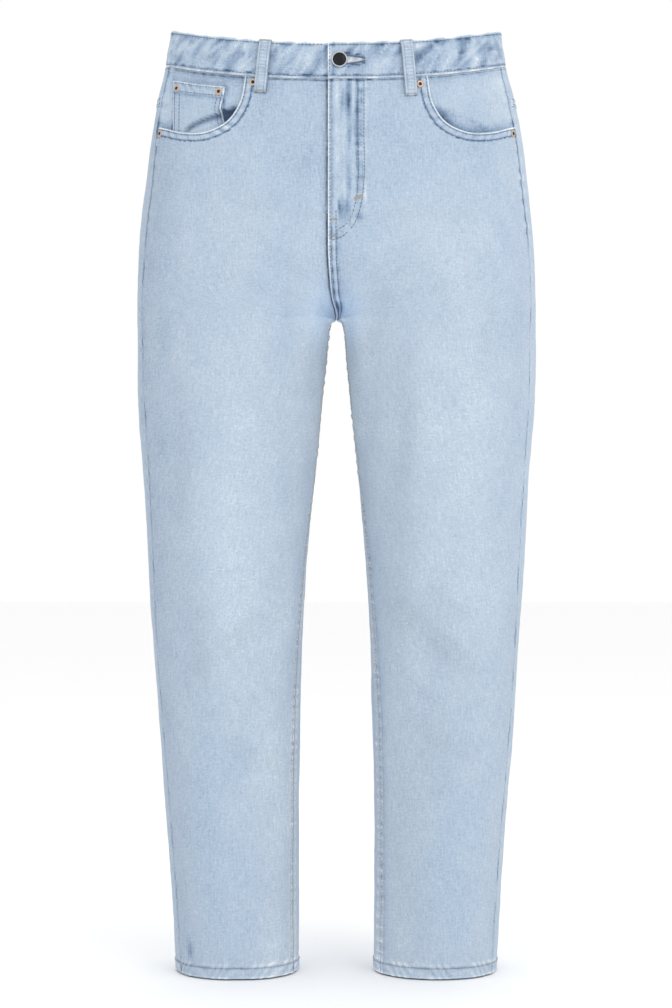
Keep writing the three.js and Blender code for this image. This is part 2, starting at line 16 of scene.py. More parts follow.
import bpy
import numpy as np
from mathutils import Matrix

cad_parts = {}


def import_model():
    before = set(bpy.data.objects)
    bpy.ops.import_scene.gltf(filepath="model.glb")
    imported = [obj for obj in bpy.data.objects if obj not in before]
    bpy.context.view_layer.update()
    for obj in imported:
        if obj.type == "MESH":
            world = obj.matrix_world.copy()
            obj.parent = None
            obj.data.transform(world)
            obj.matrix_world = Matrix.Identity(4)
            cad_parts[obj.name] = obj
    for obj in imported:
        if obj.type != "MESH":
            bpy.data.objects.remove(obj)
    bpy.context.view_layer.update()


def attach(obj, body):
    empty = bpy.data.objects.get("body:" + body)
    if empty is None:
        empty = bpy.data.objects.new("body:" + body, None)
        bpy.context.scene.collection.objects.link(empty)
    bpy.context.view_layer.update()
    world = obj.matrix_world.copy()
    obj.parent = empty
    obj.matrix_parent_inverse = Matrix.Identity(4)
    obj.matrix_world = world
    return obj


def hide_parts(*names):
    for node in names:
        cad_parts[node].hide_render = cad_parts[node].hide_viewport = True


LOG = logging.getLogger("jeans")
MM = 0.001
SEED = 5911
Array = np.ndarray
Number = np.ndarray | float
Triple = tuple[float, float, float]
Floats = tuple[float, ...]

# Cloth thicknesses and clearances, mm
CLOTH = 1.4
BAND_CLOTH = 2.6
COIN_CLOTH = 1.2
PATCH_CLOTH = 1.3
LOOP_CLOTH = 1.6
SEAM_GAP = 0.3
LAYER_GAP = 0.35
POCKET_GAP = 0.7
FLY_GAP = 0.6

# Main heights below the waist edge at the side seam, mm
BAND_HEIGHT = 38.0
BAND_SEAM = -BAND_HEIGHT - SEAM_GAP
FORK_START = -165.0
CROTCH = -303.0
HEM = -985.0
HEM_TURN = 12.5
HEM_EXTRA = 0.6
FRONT_DIP = 27.7
BACK_RISE = 6.0
DIP_POWER = 1.6
DIP_FULL = -45.0
DIP_NONE = -230.0
SQUARENESS = 2.2
FORK_RADIUS = 7.0
FORK_EASE_IN = 1.5
FORK_EASE_OUT = 1.7

# Spacing of the fine cloth grid, and how it closes up beside a seam, mm
GRID = 3.5
FORK_ROWS = (CROTCH + 2.0, CROTCH + 0.6, CROTCH - 0.3, CROTCH - 1.4, CROTCH - 2.6, CROTCH - 4.5)
SEAM_STEPS = (0.0, 0.45, 1.0, 1.7, 2.6, 3.7, 5.0, 6.6, 8.6)
EDGE_ROUND = 0.9
HEM_STEPS = (0.0, 0.5, 1.2, 2.2, 3.6, 5.2, 7.0, 9.0, 10.6, 11.6, 12.4, 13.2, 14.4, 16.2)

# Levels and places of the details, mm
FLY_EDGE = 8.85
FLY_UNDER = 4.0
FLY_FOOT = -190.0
FLY_CLOSED = -203.5
FLY_FLUSH = -212.0
FLY_SEAM_END = -235.0
FLY_SEAM_TURN = CROTCH + 23
FLY_SEAM_KEPT = 0.6
YOKE_SIDE = 40.0
YOKE_CENTRE = 68.0
YOKE_FADE = -215.0

# Scooped pocket opening as x and z on the front, from the waistband seam to the side seam
SCOOP = np.array(
    [(90, -40), (92.5, -62), (98, -90), (110, -107.5), (131, -117), (158, -115.5), (180, -107.5)],
    float,
)

# Pocket facings: inner edge as x on the front, lower edge, and how far their step takes
FACING_X = 80.0
FACING_BOTTOM = -122.0
FACING_BLEND = 14.0
UNDER_FRONT = -CLOTH - POCKET_GAP
UNDER_COIN = UNDER_FRONT - COIN_CLOTH - LAYER_GAP

# Coin pocket on the wearer's right, as x on the front and levels
COIN_INNER = 114.0
COIN_OUTER = 170.0
COIN_TOP = -51.0
COIN_BOTTOM = -119.0
COIN_HEM = 11.0

# Belt loops and the button
LOOP_WIDTH = 12.7
LOOP_BOW = 2.8
BUTTON_X = 3.0
BUTTON_LEVEL = -19.0


@dataclass(frozen=True)
class BodyLevel:
    """Outer size of the body at one level, mm and degrees."""

    level: float
    half: float
    front: float
    back: float
    side_y: float
    seam_turn: float


@dataclass(frozen=True)
class InnerLevel:
    """Inner side of one leg at one level: gap from the middle plane, and turn of the inseam."""

    level: float
    gap: float
    turn: float


@dataclass(frozen=True)
class Fold:
    """One soft trough or ridge: its middle, half length, half width, depth and tilt."""

    side: int
    face: int
    x: float
    z: float
    long: float
    wide: float
    depth: float
    tilt: float


BODY = (
    BodyLevel(0, 173.3, 90, 93, 0, 14),
    BodyLevel(-38, 178, 93, 98, 0, 15),
    BodyLevel(-71, 186.4, 96, 105, 0, 16),
    BodyLevel(-124, 195.8, 99, 116, 0, 17),
    BodyLevel(-176, 202.1, 101, 123, 0, 18),
    BodyLevel(-218, 206.3, 102, 125, 0, 19),
    BodyLevel(-281, 209.2, 102, 120, 1, 22),
    BodyLevel(-323, 209.2, 101, 113, 2, 25),
    BodyLevel(-386, 207.9, 97, 104, 3, 26),
    BodyLevel(-470, 202.7, 88, 97, 4, 26),
    BodyLevel(-554, 197.4, 79, 90, 6, 25),
    BodyLevel(-638, 192.7, 71, 85, 7, 23),
    BodyLevel(-722, 186.9, 65, 83, 9, 23),
    BodyLevel(-806, 180.6, 58, 81, 12, 25),
    BodyLevel(-890, 174.8, 52, 79, 14, 27),
    BodyLevel(-985, 169, 47, 77, 15, 26),
)

INNER_LEG = (
    InnerLevel(-303, 0, 0),
    InnerLevel(-304.5, 4.8, 0),
    InnerLevel(-306.5, 6.3, 0),
    InnerLevel(-313, 7.9, 0),
    InnerLevel(-344, 10.5, 0),
    InnerLevel(-386, 15.2, 1),
    InnerLevel(-428, 18.9, 3),
    InnerLevel(-512, 27.3, 10),
    InnerLevel(-554, 31, 14),
    InnerLevel(-638, 35.7, 19),
    InnerLevel(-722, 37.8, 22),
    InnerLevel(-806, 39.9, 23),
    InnerLevel(-985, 39.9, 23),
)

# Largest folds, the same as the solids have
FOLDS = (
    Fold(1, -1, 104, -640, 52, 13, -3.4, -38),
    Fold(1, -1, 112, -745, 36, 11, -2.2, -30),
    Fold(1, -1, 66, -420, 66, 14, -2.6, 84),
    Fold(-1, -1, -160, -478, 78, 13, -2.2, 88),
    Fold(-1, -1, -98, -632, 50, 13, -3, 34),
    Fold(-1, -1, -84, -756, 40, 11, -2.2, -24),
    Fold(1, -1, 70, -205, 62, 9, -1.6, 8),
    Fold(-1, -1, -74, -196, 58, 9, -1.4, -10),
    Fold(1, 1, 112, -610, 58, 12, -3.6, 18),
    Fold(1, 1, 104, -668, 48, 11, -2.8, -14),
    Fold(-1, 1, -110, -622, 60, 12, -3.4, -20),
    Fold(-1, 1, -108, -684, 46, 11, -2.6, 12),
    Fold(1, 1, 78, -318, 54, 12, -3, 24),
    Fold(-1, 1, -80, -322, 50, 12, -2.8, -26),
)

# Smaller creases, only in the dressed cloth
CREASES = (
    Fold(1, -1, 62, -262, 40, 5, -1.1, 24),
    Fold(1, -1, 82, -281, 52, 6, -1.0, 12),
    Fold(1, -1, 74, -240, 44, 5, -0.7, 30),
    Fold(-1, -1, -58, -256, 42, 5, -1.1, -22),
    Fold(-1, -1, -84, -276, 50, 6, -0.9, -14),
    Fold(-1, -1, -70, -236, 36, 5, -0.7, -34),
    Fold(1, -1, 132, -208, 38, 6, -0.8, -6),
    Fold(-1, -1, -138, -212, 42, 6, -0.8, 8),
    Fold(1, -1, 40, -150, 46, 6, -0.6, 82),
    Fold(-1, -1, -46, -140, 50, 6, -0.7, -80),
    Fold(1, -1, 150, -330, 60, 7, -0.9, 76),
    Fold(-1, -1, -176, -318, 58, 7, -0.9, -82),
    Fold(-1, -1, -52, -430, 70, 8, -0.8, -86),
    Fold(1, -1, 120, -600, 30, 6, -0.9, -30),
    Fold(1, -1, 88, -690, 34, 6, -1.1, -46),
    Fold(1, -1, 136, -700, 26, 6, -0.8, -20),
    Fold(1, -1, 90, -800, 30, 7, -0.8, 28),
    Fold(-1, -1, -124, -600, 30, 6, -0.8, 30),
    Fold(-1, -1, -80, -700, 30, 6, -0.9, 40),
    Fold(-1, -1, -128, -716, 28, 6, -0.7, -16),
    Fold(-1, -1, -100, -836, 34, 7, -0.7, 20),
    Fold(1, -1, 130, -880, 26, 7, -0.6, -24),
    Fold(1, 1, 96, -584, 40, 6, -1.3, 8),
    Fold(1, 1, 126, -640, 36, 6, -1.2, 26),
    Fold(1, 1, 90, -712, 34, 6, -0.9, -22),
    Fold(1, 1, 118, -790, 30, 7, -0.8, 18),
    Fold(1, 1, 104, -880, 34, 7, -0.8, -14),
    Fold(1, 1, 112, -350, 44, 6, -1.0, 30),
    Fold(1, 1, 60, -290, 34, 5, -1.2, 44),
    Fold(1, 1, 150, -420, 60, 8, -0.8, 84),
    Fold(-1, 1, -98, -590, 42, 6, -1.2, -10),
    Fold(-1, 1, -126, -652, 34, 6, -1.2, -24),
    Fold(-1, 1, -88, -724, 36, 6, -1.0, 20),
    Fold(-1, 1, -120, -800, 28, 7, -0.8, -16),
    Fold(-1, 1, -102, -872, 34, 7, -0.7, 12),
    Fold(-1, 1, -116, -356, 46, 6, -1.0, -28),
    Fold(-1, 1, -62, -294, 32, 5, -1.2, -42),
    Fold(-1, 1, -150, -430, 56, 8, -0.8, -86),
)


@dataclass(frozen=True)
class SoftPatch:
    """One broad soft patch, paler or darker in dye or in painted light: middle, half sizes and tone."""

    side: int
    x: float
    z: float
    wide: float
    tall: float
    tone: float


# Patches of tone on the front: at the fork, painted light lifting its shade; at the right hem, a frayed
# spot
FADES_AND_FORK_LIGHT = (
    SoftPatch(1, 140, -430, 32, 250, 0.2),
    SoftPatch(1, 132, -640, 22, 70, 0.1),
    SoftPatch(1, 22, -335, 20, 66, 0.6),
    SoftPatch(-1, 20, -335, 18, 66, 0.6),
    SoftPatch(-1, 52, -760, 18, 240, 0.28),
    SoftPatch(-1, 152, -958, 4, 9, -0.8),
    SoftPatch(-1, 111, -600, 20, 70, 0.12),
)

# Broad soft hollows, as shares of light
HOLLOWS = (
    SoftPatch(1, 66, -510, 20, 140, -0.07),
    SoftPatch(1, 62, -610, 18, 36, -0.07),
    SoftPatch(1, 76, -860, 26, 150, -0.065),
    SoftPatch(1, 100, -606, 20, 40, -0.05),
    SoftPatch(1, 114, -644, 20, 34, -0.05),
    SoftPatch(1, 98, -745, 26, 60, -0.05),
    SoftPatch(-1, 142, -618, 12, 44, -0.05),
    SoftPatch(-1, 134, -664, 13, 36, -0.04),
    SoftPatch(-1, 112, -592, 10, 44, 0.03),
    SoftPatch(-1, 158, -560, 24, 330, -0.04),
    SoftPatch(-1, 124, -520, 18, 130, 0.03),
)

# Side of a patch that both legs have
BOTH = 0

# Paler thighs, knees and hips of both legs
WORN = (
    SoftPatch(BOTH, 104, -430, 52, 190, 0.42),
    SoftPatch(BOTH, 106, -640, 46, 120, 0.18),
    SoftPatch(BOTH, 96, -215, 60, 60, 0.16),
)

# Light that the fork of the legs keeps
FORK_LIGHT = (SoftPatch(BOTH, 6, -300, 24, 26, 0.42),)

# Dark patches of the fly, by arc and level, and the one at its foot by distance from its edge
FLY_PATCHES = (
    SoftPatch(1, 13, -62, 9, 20, -1.0),
    SoftPatch(1, 18, -100, 5, 20, -0.8),
    SoftPatch(1, 8, -195, 8, 12, -1.9),
)
FLY_FORK = (SoftPatch(1, 4, CROTCH + 3, 7, 13, -0.7),)


@dataclass(frozen=True)
class LoopPlace:
    """Belt loop: its node, its top and foot as places from the front or back middle, and its level."""

    name: str
    back: bool
    top: float
    foot: float
    bottom: float


@dataclass(frozen=True)
class RivetPlace:
    """Rivet: its node, side, x on the front, level and lift."""

    name: str
    side: int
    x: float
    level: float
    lift: float


LOOPS = (
    LoopPlace("belt_loop_1", False, -72, -77.5, -55.5),
    LoopPlace("belt_loop_2", False, 70.8, 76, -58.5),
    LoopPlace("belt_loop_3", True, -122, -126, -58.5),
    LoopPlace("belt_loop_4", True, 122, 126, -58.5),
    LoopPlace("belt_loop_5", True, 0, 0, -58.5),
)

RIVETS = (
    RivetPlace("rivet_1", -1, 165.6, -58.5, UNDER_FRONT),
    RivetPlace("rivet_2", -1, 120.5, -56.5, UNDER_FRONT),
    RivetPlace("rivet_3", -1, 84.5, -44.5, 0),
    RivetPlace("rivet_4", 1, 84.5, -46.5, 0),
    RivetPlace("rivet_5", -1, 182, -108.5, 0),
    RivetPlace("rivet_6", 1, 182, -108.5, 0),
)


def smooth(start: float, end: float, value: Array) -> Array:
    """Soft step from 0 at start to 1 at end."""
    t = np.clip((value - start) / (end - start), 0.0, 1.0)
    return t * t * (3.0 - 2.0 * t)


def signed_power(value: Array, power: float) -> Array:
    """A power that keeps the sign of its base."""
    return np.sign(value) * np.abs(value) ** power


def bump(value: Array, middle: float, width: float) -> Array:
    """Bell curve of height 1 about a middle."""
    return np.exp(-(((value - middle) / width) ** 2))


@dataclass(frozen=True)
class Mark:
    """A line of dye, light or relief beside an edge: its distance, half width and strength."""

    off: float
    wide: float
    tone: float

    def at(self, distance: Array) -> Array:
        """Strength at distances from the edge, a bell curve across the line."""
        return self.tone * bump(distance, self.off, self.wide)


Marks = tuple[Mark, ...]


def marked(table: Marks, distance: Array) -> Array:
    """Sum of a table's marks at distances from their edge."""
    return sum(mark.at(distance) for mark in table)


def table_curve(rows: tuple, key: str) -> Callable[[Array], Array]:
    """Smooth curve through one column of a table: cubic pieces with the neighbours' slopes.

    Args:
        rows: table rows with falling level.
        key: name of the column.

    Returns:
        A function that reads the column at any levels.
    """
    level = np.array([row.level for row in rows], float)
    value = np.array([getattr(row, key) for row in rows], float)
    before = np.r_[0, np.arange(len(rows) - 1)]
    after = np.r_[np.arange(1, len(rows)), len(rows) - 1]
    slope = (value[after] - value[before]) / (level[after] - level[before])

    def read(at: Array) -> Array:
        """Value of the column at the given levels."""
        i = np.clip(np.searchsorted(-level, -np.asarray(at, float)) - 1, 0, len(rows) - 2)
        span = level[i + 1] - level[i]
        t = np.clip((at - level[i]) / span, 0, 1)
        t2, t3 = t * t, t * t * t
        rise = (t3 - 2 * t2 + t) * slope[i] + (t3 - t2) * slope[i + 1]
        return (2 * t3 - 3 * t2 + 1) * value[i] + (3 * t2 - 2 * t3) * value[i + 1] + span * rise

    return read


@dataclass
class Ripple:
    """Smooth random field in space: a sum of plane waves of one range of wavelengths.

    Its stretch is how many times longer the waves are along x, y and z.
    """

    seed: int
    shortest: float
    longest: float
    stretch: Triple = (1.0, 1.0, 1.0)
    count: int = 22

    def __post_init__(self) -> None:
        """Draw the waves' directions, lengths and phases."""
        rng = np.random.default_rng(SEED + self.seed)
        ways = unit(rng.normal(size=(self.count, 3)))
        lengths = rng.uniform(self.shortest, self.longest, self.count)
        self.waves = ways / lengths[:, None] * 2 * np.pi / np.array(self.stretch)
        self.phase = rng.uniform(0, 2 * np.pi, self.count)

    def at(self, points: Array) -> Array:
        """Height of the field at points (..., 3), about -2 to 2."""
        heights = np.cos(points @ self.waves.T + self.phase)
        return heights.sum(-1) * np.sqrt(2.0 / self.count)


# Cosines in a random line
LINE_WAVES = 14


def along_ripple(seed: int, shortest: float, longest: float) -> Callable[[Array], Array]:
    """Random wavy line along one length: a sum of cosines, about -2 to 2.

    Args:
        seed: seed of the random draw.
        shortest: shortest wavelength, mm.
        longest: longest wavelength, mm.

    Returns:
        A function that reads the line at any places.
    """
    rng = np.random.default_rng(SEED + seed)
    waves = 2 * np.pi / rng.uniform(shortest, longest, LINE_WAVES)
    phase = rng.uniform(0, 2 * np.pi, LINE_WAVES)
    scale = np.sqrt(2.0 / LINE_WAVES)
    return lambda t: np.cos(np.multiply.outer(t, waves) + phase).sum(-1) * scale


@dataclass
class Body:
    """The smooth outer surface of the jeans, read by level and by arc from the centre front.

    A section is one or two rounded loops, squared by a power, cut at the middle plane above
    the fork of the legs. Its soft fork comes from x = sqrt(raw x squared - fork radius squared).
    """

    # Points round a section, how they bunch at its ends, and what keeps the sections' arcs apart
    steps: int = 260
    bunching: float = 0.14
    stride: float = 1.0e5
    # Spacing of the levels, and of those near the fork, and the step that finds directions, mm
    level_step: float = 1.5
    fork_step: float = 0.2
    probe: float = 0.4

    def __post_init__(self) -> None:
        """Work out the sections at close levels."""
        for key in ("half", "front", "back", "side_y", "seam_turn"):
            setattr(self, key, table_curve(BODY, key))
        self.inner_turn = table_curve(INNER_LEG, "turn")
        near_fork = np.arange(CROTCH + 12, CROTCH - 14, -self.fork_step)
        levels = np.arange(self.level_step, HEM - 2, -self.level_step)
        self.levels = np.unique(np.r_[levels, near_fork, CROTCH])[::-1]
        self._sections()

    def _loop_inner(self, level: Array) -> Array:
        """Innermost x of the whole rounded loop at each level."""
        gap_level = np.array([row.level for row in INNER_LEG])[::-1]
        gap = np.array([row.gap for row in INNER_LEG])[::-1]
        leg = np.hypot(np.interp(level, gap_level, gap), FORK_RADIUS)
        down = np.clip((FORK_START - level) / (FORK_START - CROTCH), 0, 1)
        left = (1 - down**FORK_EASE_IN) ** FORK_EASE_OUT
        half = self.half(level)
        above = FORK_RADIUS - (half + FORK_RADIUS) * left
        return np.where(level < CROTCH, leg, np.where(level >= FORK_START, -half, above))

    def _sections(self) -> None:
        """Points of each level's half section and the arc to each of them."""
        level = self.levels[:, None]
        inner = self._loop_inner(level)
        half = self.half(level)
        middle, radius = (half + inner) / 2, (half - inner) / 2
        line = self.side_y(level)
        leg = level < CROTCH
        reach = np.clip((FORK_RADIUS - middle) / radius, -1, 1)
        cut = np.arcsin(signed_power(reach, SQUARENESS / 2))
        start = np.where(leg, np.radians(-90 + self.inner_turn(level)), cut)
        end = np.where(leg, start + 2 * np.pi, np.pi - cut)
        u = np.linspace(0, 1, self.steps + 1)[None, :]
        turn = start + (end - start) * (u - self.bunching * np.sin(2 * np.pi * u))
        raw = middle + radius * signed_power(np.sin(turn), 2 / SQUARENESS)
        depth = np.where(np.cos(turn) > 0, self.front(level) + line, self.back(level) - line)
        self.x = np.sqrt(np.maximum(0, raw * raw - FORK_RADIUS**2))
        self.y = line - depth * signed_power(np.cos(turn), 2 / SQUARENESS)
        step = np.hypot(np.diff(self.x, axis=1), np.diff(self.y, axis=1))
        self.arc = np.concatenate([np.zeros_like(level), np.cumsum(step, axis=1)], axis=1)
        self.total = self.arc[:, -1]
        self.is_leg = leg[:, 0]
        side_turn = np.radians(90 - self.seam_turn(self.levels))
        self.seam_arc = np.array([np.interp(t, a, b) for t, a, b in zip(side_turn, turn, self.arc)])
        self.flat = (self.arc + np.arange(len(self.levels))[:, None] * self.stride).ravel()

    def seam(self, level: Array) -> Array:
        """Arc from the centre front or inseam to the side seam."""
        return np.interp(-np.asarray(level, float), -self.levels, self.seam_arc)

    def length(self, level: Array) -> Array:
        """Length of the half section."""
        return np.interp(-np.asarray(level, float), -self.levels, self.total)

    def _read(self, row: Array, arc: Array) -> tuple[Array, Array]:
        """Point of one section at an arc, mirrored over the middle or carried on round a leg."""
        total, leg = self.total[row], self.is_leg[row]
        over = np.where(arc < 0, -arc, np.where(arc > total, 2 * total - arc, arc))
        folded = np.where(leg, np.mod(arc, total), over)
        mirror = np.where(~leg & ((arc < 0) | (arc > total)), -1.0, 1.0)
        i = np.searchsorted(self.flat, folded + row * self.stride, side="right") - 1
        base = row * (self.steps + 1)
        i = np.clip(i, base, base + self.steps - 1)
        low, high = self.flat[i], self.flat[i + 1]
        t = np.clip((folded + row * self.stride - low) / np.maximum(high - low, 1e-9), 0, 1)
        x, y = self.x.ravel(), self.y.ravel()
        return mirror * (x[i] + t * (x[i + 1] - x[i])), y[i] + t * (y[i + 1] - y[i])

    def locate(self, level: Array, arc: Array) -> Array:
        """Points (..., 3) of the wearer's left half at the given levels and arcs."""
        level, arc = np.broadcast_arrays(np.asarray(level, float), np.asarray(arc, float))
        last = len(self.levels) - 2
        row = np.clip(np.searchsorted(-self.levels, -level, side="right") - 1, 0, last)
        t = (self.levels[row] - level) / (self.levels[row] - self.levels[row + 1])
        x0, y0 = self._read(row, arc)
        x1, y1 = self._read(row + 1, arc)
        x, y = x0 + t * (x1 - x0), y0 + t * (y1 - y0)
        line = self.side_y(level)
        ahead = (line - y) / (self.front(level) + line)
        behind = (y - line) / (self.back(level) - line)
        drop = -FRONT_DIP * np.clip(ahead, 0, 1) ** DIP_POWER
        rise = BACK_RISE * np.clip(behind, 0, 1) ** 2
        z = level + np.where(y < line, drop, rise) * smooth(DIP_NONE, DIP_FULL, level)
        return np.stack([x, y, z], axis=-1)

    def normal(self, level: Array, arc: Array) -> Array:
        """Outward directions of the smooth surface."""
        step = self.probe
        along = self.locate(level, arc + step) - self.locate(level, arc - step)
        up = self.locate(level + step, arc) - self.locate(level - step, arc)
        out = np.cross(along, up)
        return out / np.maximum(np.linalg.norm(out, axis=-1, keepdims=True), 1e-9)

    def arc_at_x(self, level: Array, x: Array) -> Array:
        """Arc from the centre front to a given x, by halving."""
        low = np.zeros(np.broadcast(level, x).shape)
        high = self.seam(level) + low
        for _ in range(32):
            mid = (low + high) / 2
            short = self.locate(level, mid)[..., 0] < x
            low, high = np.where(short, mid, low), np.where(short, high, mid)
        return low


def unit(vectors: Array) -> Array:
    """The same directions, of length 1."""
    return vectors / np.linalg.norm(vectors, axis=-1, keepdims=True)


def chord_along(points: Array) -> Array:
    """Distance along a line of points (n, columns) to each of them."""
    return np.r_[0, np.cumsum(np.linalg.norm(np.diff(points, axis=0), axis=1))]


def read_line(points: Array, at: Array) -> Array:
    """Points of the line at the given distances along it."""
    chord = chord_along(points)
    return np.stack([np.interp(at, chord, column) for column in points.T], axis=1)


def spline(points: Array, count: int) -> Array:
    """Smooth curve through points: cubic pieces whose slopes come from the neighbours."""
    chord = chord_along(points)
    slope = np.gradient(points, chord, axis=0)
    at = np.linspace(0, chord[-1], count)
    i = np.clip(np.searchsorted(chord, at) - 1, 0, len(points) - 2)
    span = (chord[i + 1] - chord[i])[:, None]
    t = (at - chord[i])[:, None] / span
    t2, t3 = t * t, t * t * t
    ends = (2 * t3 - 3 * t2 + 1) * points[i] + (3 * t2 - 2 * t3) * points[i + 1]
    return ends + span * ((t3 - 2 * t2 + t) * slope[i] + (t3 - t2) * slope[i + 1])


def spaced(points: Array, step: float) -> Array:
    """The same line with its points an equal step apart, as near the wanted step as fits."""
    total = chord_along(points)[-1]
    return read_line(points, np.linspace(0, total, max(2, int(round(total / step)) + 1)))


@dataclass
class Cloth:
    """The dressed surface: the body with its folds, seam puckers, hems, worn dye and painted light.

    Every piece, stitch and rivet is placed by it, so that layers move together. Its reliefs are
    lifts along the body's outward direction, in mm. Its marks shift the dye, below 0 to darker,
    or are shares of light; some dye marks are painted light and shade.
    """

    # Relief beside the seams, and the depths of the three random fields
    side_ridge: Mark = Mark(0, 2.2, 0.3)
    side_waves: Mark = Mark(2, 6.5, 0.2)
    inner_ridge: Mark = Mark(4, 4, 0.4)
    inner_waves: Mark = Mark(2, 6, 0.35)
    centre_waves: Mark = Mark(4, 6, 0.3)
    band_waves: Mark = Mark(0, 9, 0.28)
    depths: Floats = (0.4, 0.14, 0.07)
    # Ropes of the hem: spacing, slant, drift, height and fading, and how they go on above it
    rope_pitch: float = 14.5
    rope_slant: float = 1.15
    rope_drift: float = 6.0
    rope_height: float = 0.38
    rope_tone: float = 0.3
    rope_above: Mark = Mark(HEM_TURN + 4, 7, 0.16)
    # Dye beside the side seam, the inseam, the waistband seam and the hem; some marks are painted light
    # and shade
    # Painted light: the wearer's left side, toward the key lamp, paler near its side seam
    lit_side_light: Mark = Mark(0, 36, 0.22)
    side_line: Mark = Mark(2.6, 1.3, -1.0)
    side_felled: Mark = Mark(-2, 2.5, 0.18)
    side_flecks: Mark = Mark(4, 4, 0.12)
    inner_flecks: Mark = Mark(4, 4, 0.25)
    inner_edge: Mark = Mark(4, 5, 0.3)
    # Painted light on the inner thighs near the fork, lifting the shade between the legs
    inner_thigh_light: Mark = Mark(8, 62, 0.5)
    inner_leg: Mark = Mark(8, 50, 0.3)
    band_edge: Mark = Mark(0, 0.5, 0.5)
    # Painted shadow just under the waistband's lower edge, uneven with its puckers
    band_shadow_line: Mark = Mark(1.5, 1.1, -1.0)
    # Hem: pale foot, painted light against its contact shade; pale top of the turn; dark sewn line
    hem_wear_and_painted_light: Marks = (
        Mark(0, 1.6, 0.5),
        Mark(HEM_TURN + 1.4, 1.2, 0.45),
        Mark(HEM_TURN - 1.6, 1.0, -0.5),
    )
    # Shares of light kept or lost, also for each mm of a fold's or crease's depth
    hem_light: Mark = Mark(0, 2.2, 0.25)
    band_shadow: Mark = Mark(1.4, 1.2, -0.14)
    right_shadow: Mark = Mark(0, 34, -0.1)
    left_shadow: Mark = Mark(0, 22, -0.06)
    fold_light: float = 0.022
    crease_light: float = 0.03
    # How far apart the two sides read the random lines, down the seams, round the waist and hem
    down_shift: float = 700.0
    waist_shift: float = 900.0
    hem_shift: float = 500.0

    def __post_init__(self) -> None:
        """Draw the random fields and place the scoop's line on the surface."""
        self.body = Body()
        self.broad = Ripple(1, 55, 120, (1, 1, 1.7))
        self.soft = Ripple(2, 24, 46, (1, 1, 1.4))
        self.fine = Ripple(3, 9, 17)
        self.stain = Ripple(4, 26, 90, (1, 1, 2.2))
        self.side_pucker = along_ripple(5, 9, 20)
        self.side_gap = along_ripple(6, 30, 80)
        self.inner_pucker = along_ripple(7, 7, 13)
        self.hem_twist = along_ripple(8, 30, 70)
        self.centre_pucker = along_ripple(9, 10, 19)
        self.top_pucker = along_ripple(10, 9, 20)
        self.rim_pucker = along_ripple(11, 8, 15)
        self.yoke_pucker = along_ripple(12, 9, 18)
        self.fine_pucker = along_ripple(13, 3.5, 7)
        line = spline(SCOOP, 120)
        self.scoop = self.find_front(line[:, 0], line[:, 1])

    def find_front(self, x: Array, z: Array) -> Array:
        """Levels and arcs (n, 2) of places on the front, given by x and height."""
        level = np.array(z, float)
        for _ in range(14):
            arc = self.body.arc_at_x(level, x)
            level = level + (z - self.body.locate(level, arc)[..., 2])
        return np.stack([level, self.body.arc_at_x(level, x)], axis=-1)

    def scoop_line(self) -> Array:
        """The scoop's levels and arcs from the waistband seam to the side seam."""
        line = self.scoop[self.scoop[:, 0] < BAND_SEAM]
        start = [BAND_SEAM, np.interp(-BAND_SEAM, -self.scoop[:, 0][:60], self.scoop[:, 1][:60])]
        tail = line[-1] - line[-4]
        reach = float(self.body.seam(line[-1, 0])) - SEAM_GAP / 2 - line[-1, 1]
        end = line[-1] + tail / tail[1] * reach
        end[1] = float(self.body.seam(end[0])) - SEAM_GAP / 2
        return np.vstack([start, line, end])

    def scoop_distance(self, level: Array, arc: Array) -> Array:
        """Distance to the scoop's line, measured on the unrolled cloth, mm."""
        line = spaced(self.scoop_line(), 2.5)
        near = np.full(np.shape(level), 1e3)
        for point in line:
            near = np.minimum(near, np.hypot(level - point[0], arc - point[1]))
        return near

    def folds(self, side: int, point: Array, normal: Array, table: tuple) -> Array:
        """Sum of the table's folds: each a bell across and along its own tilted line."""
        lift = np.zeros(point.shape[:-1])
        for fold in table:
            if fold.side != side:
                continue
            tilt = np.radians(fold.tilt)
            dx, dz = side * point[..., 0] - fold.x, point[..., 2] - fold.z
            along = (dx * np.cos(tilt) + dz * np.sin(tilt)) / fold.long
            across = (dz * np.cos(tilt) - dx * np.sin(tilt)) / fold.wide
            facing = smooth(0.15, 0.6, fold.face * normal[..., 1])
            lift += fold.depth * facing * np.exp(-along * along - across * across)
        return lift

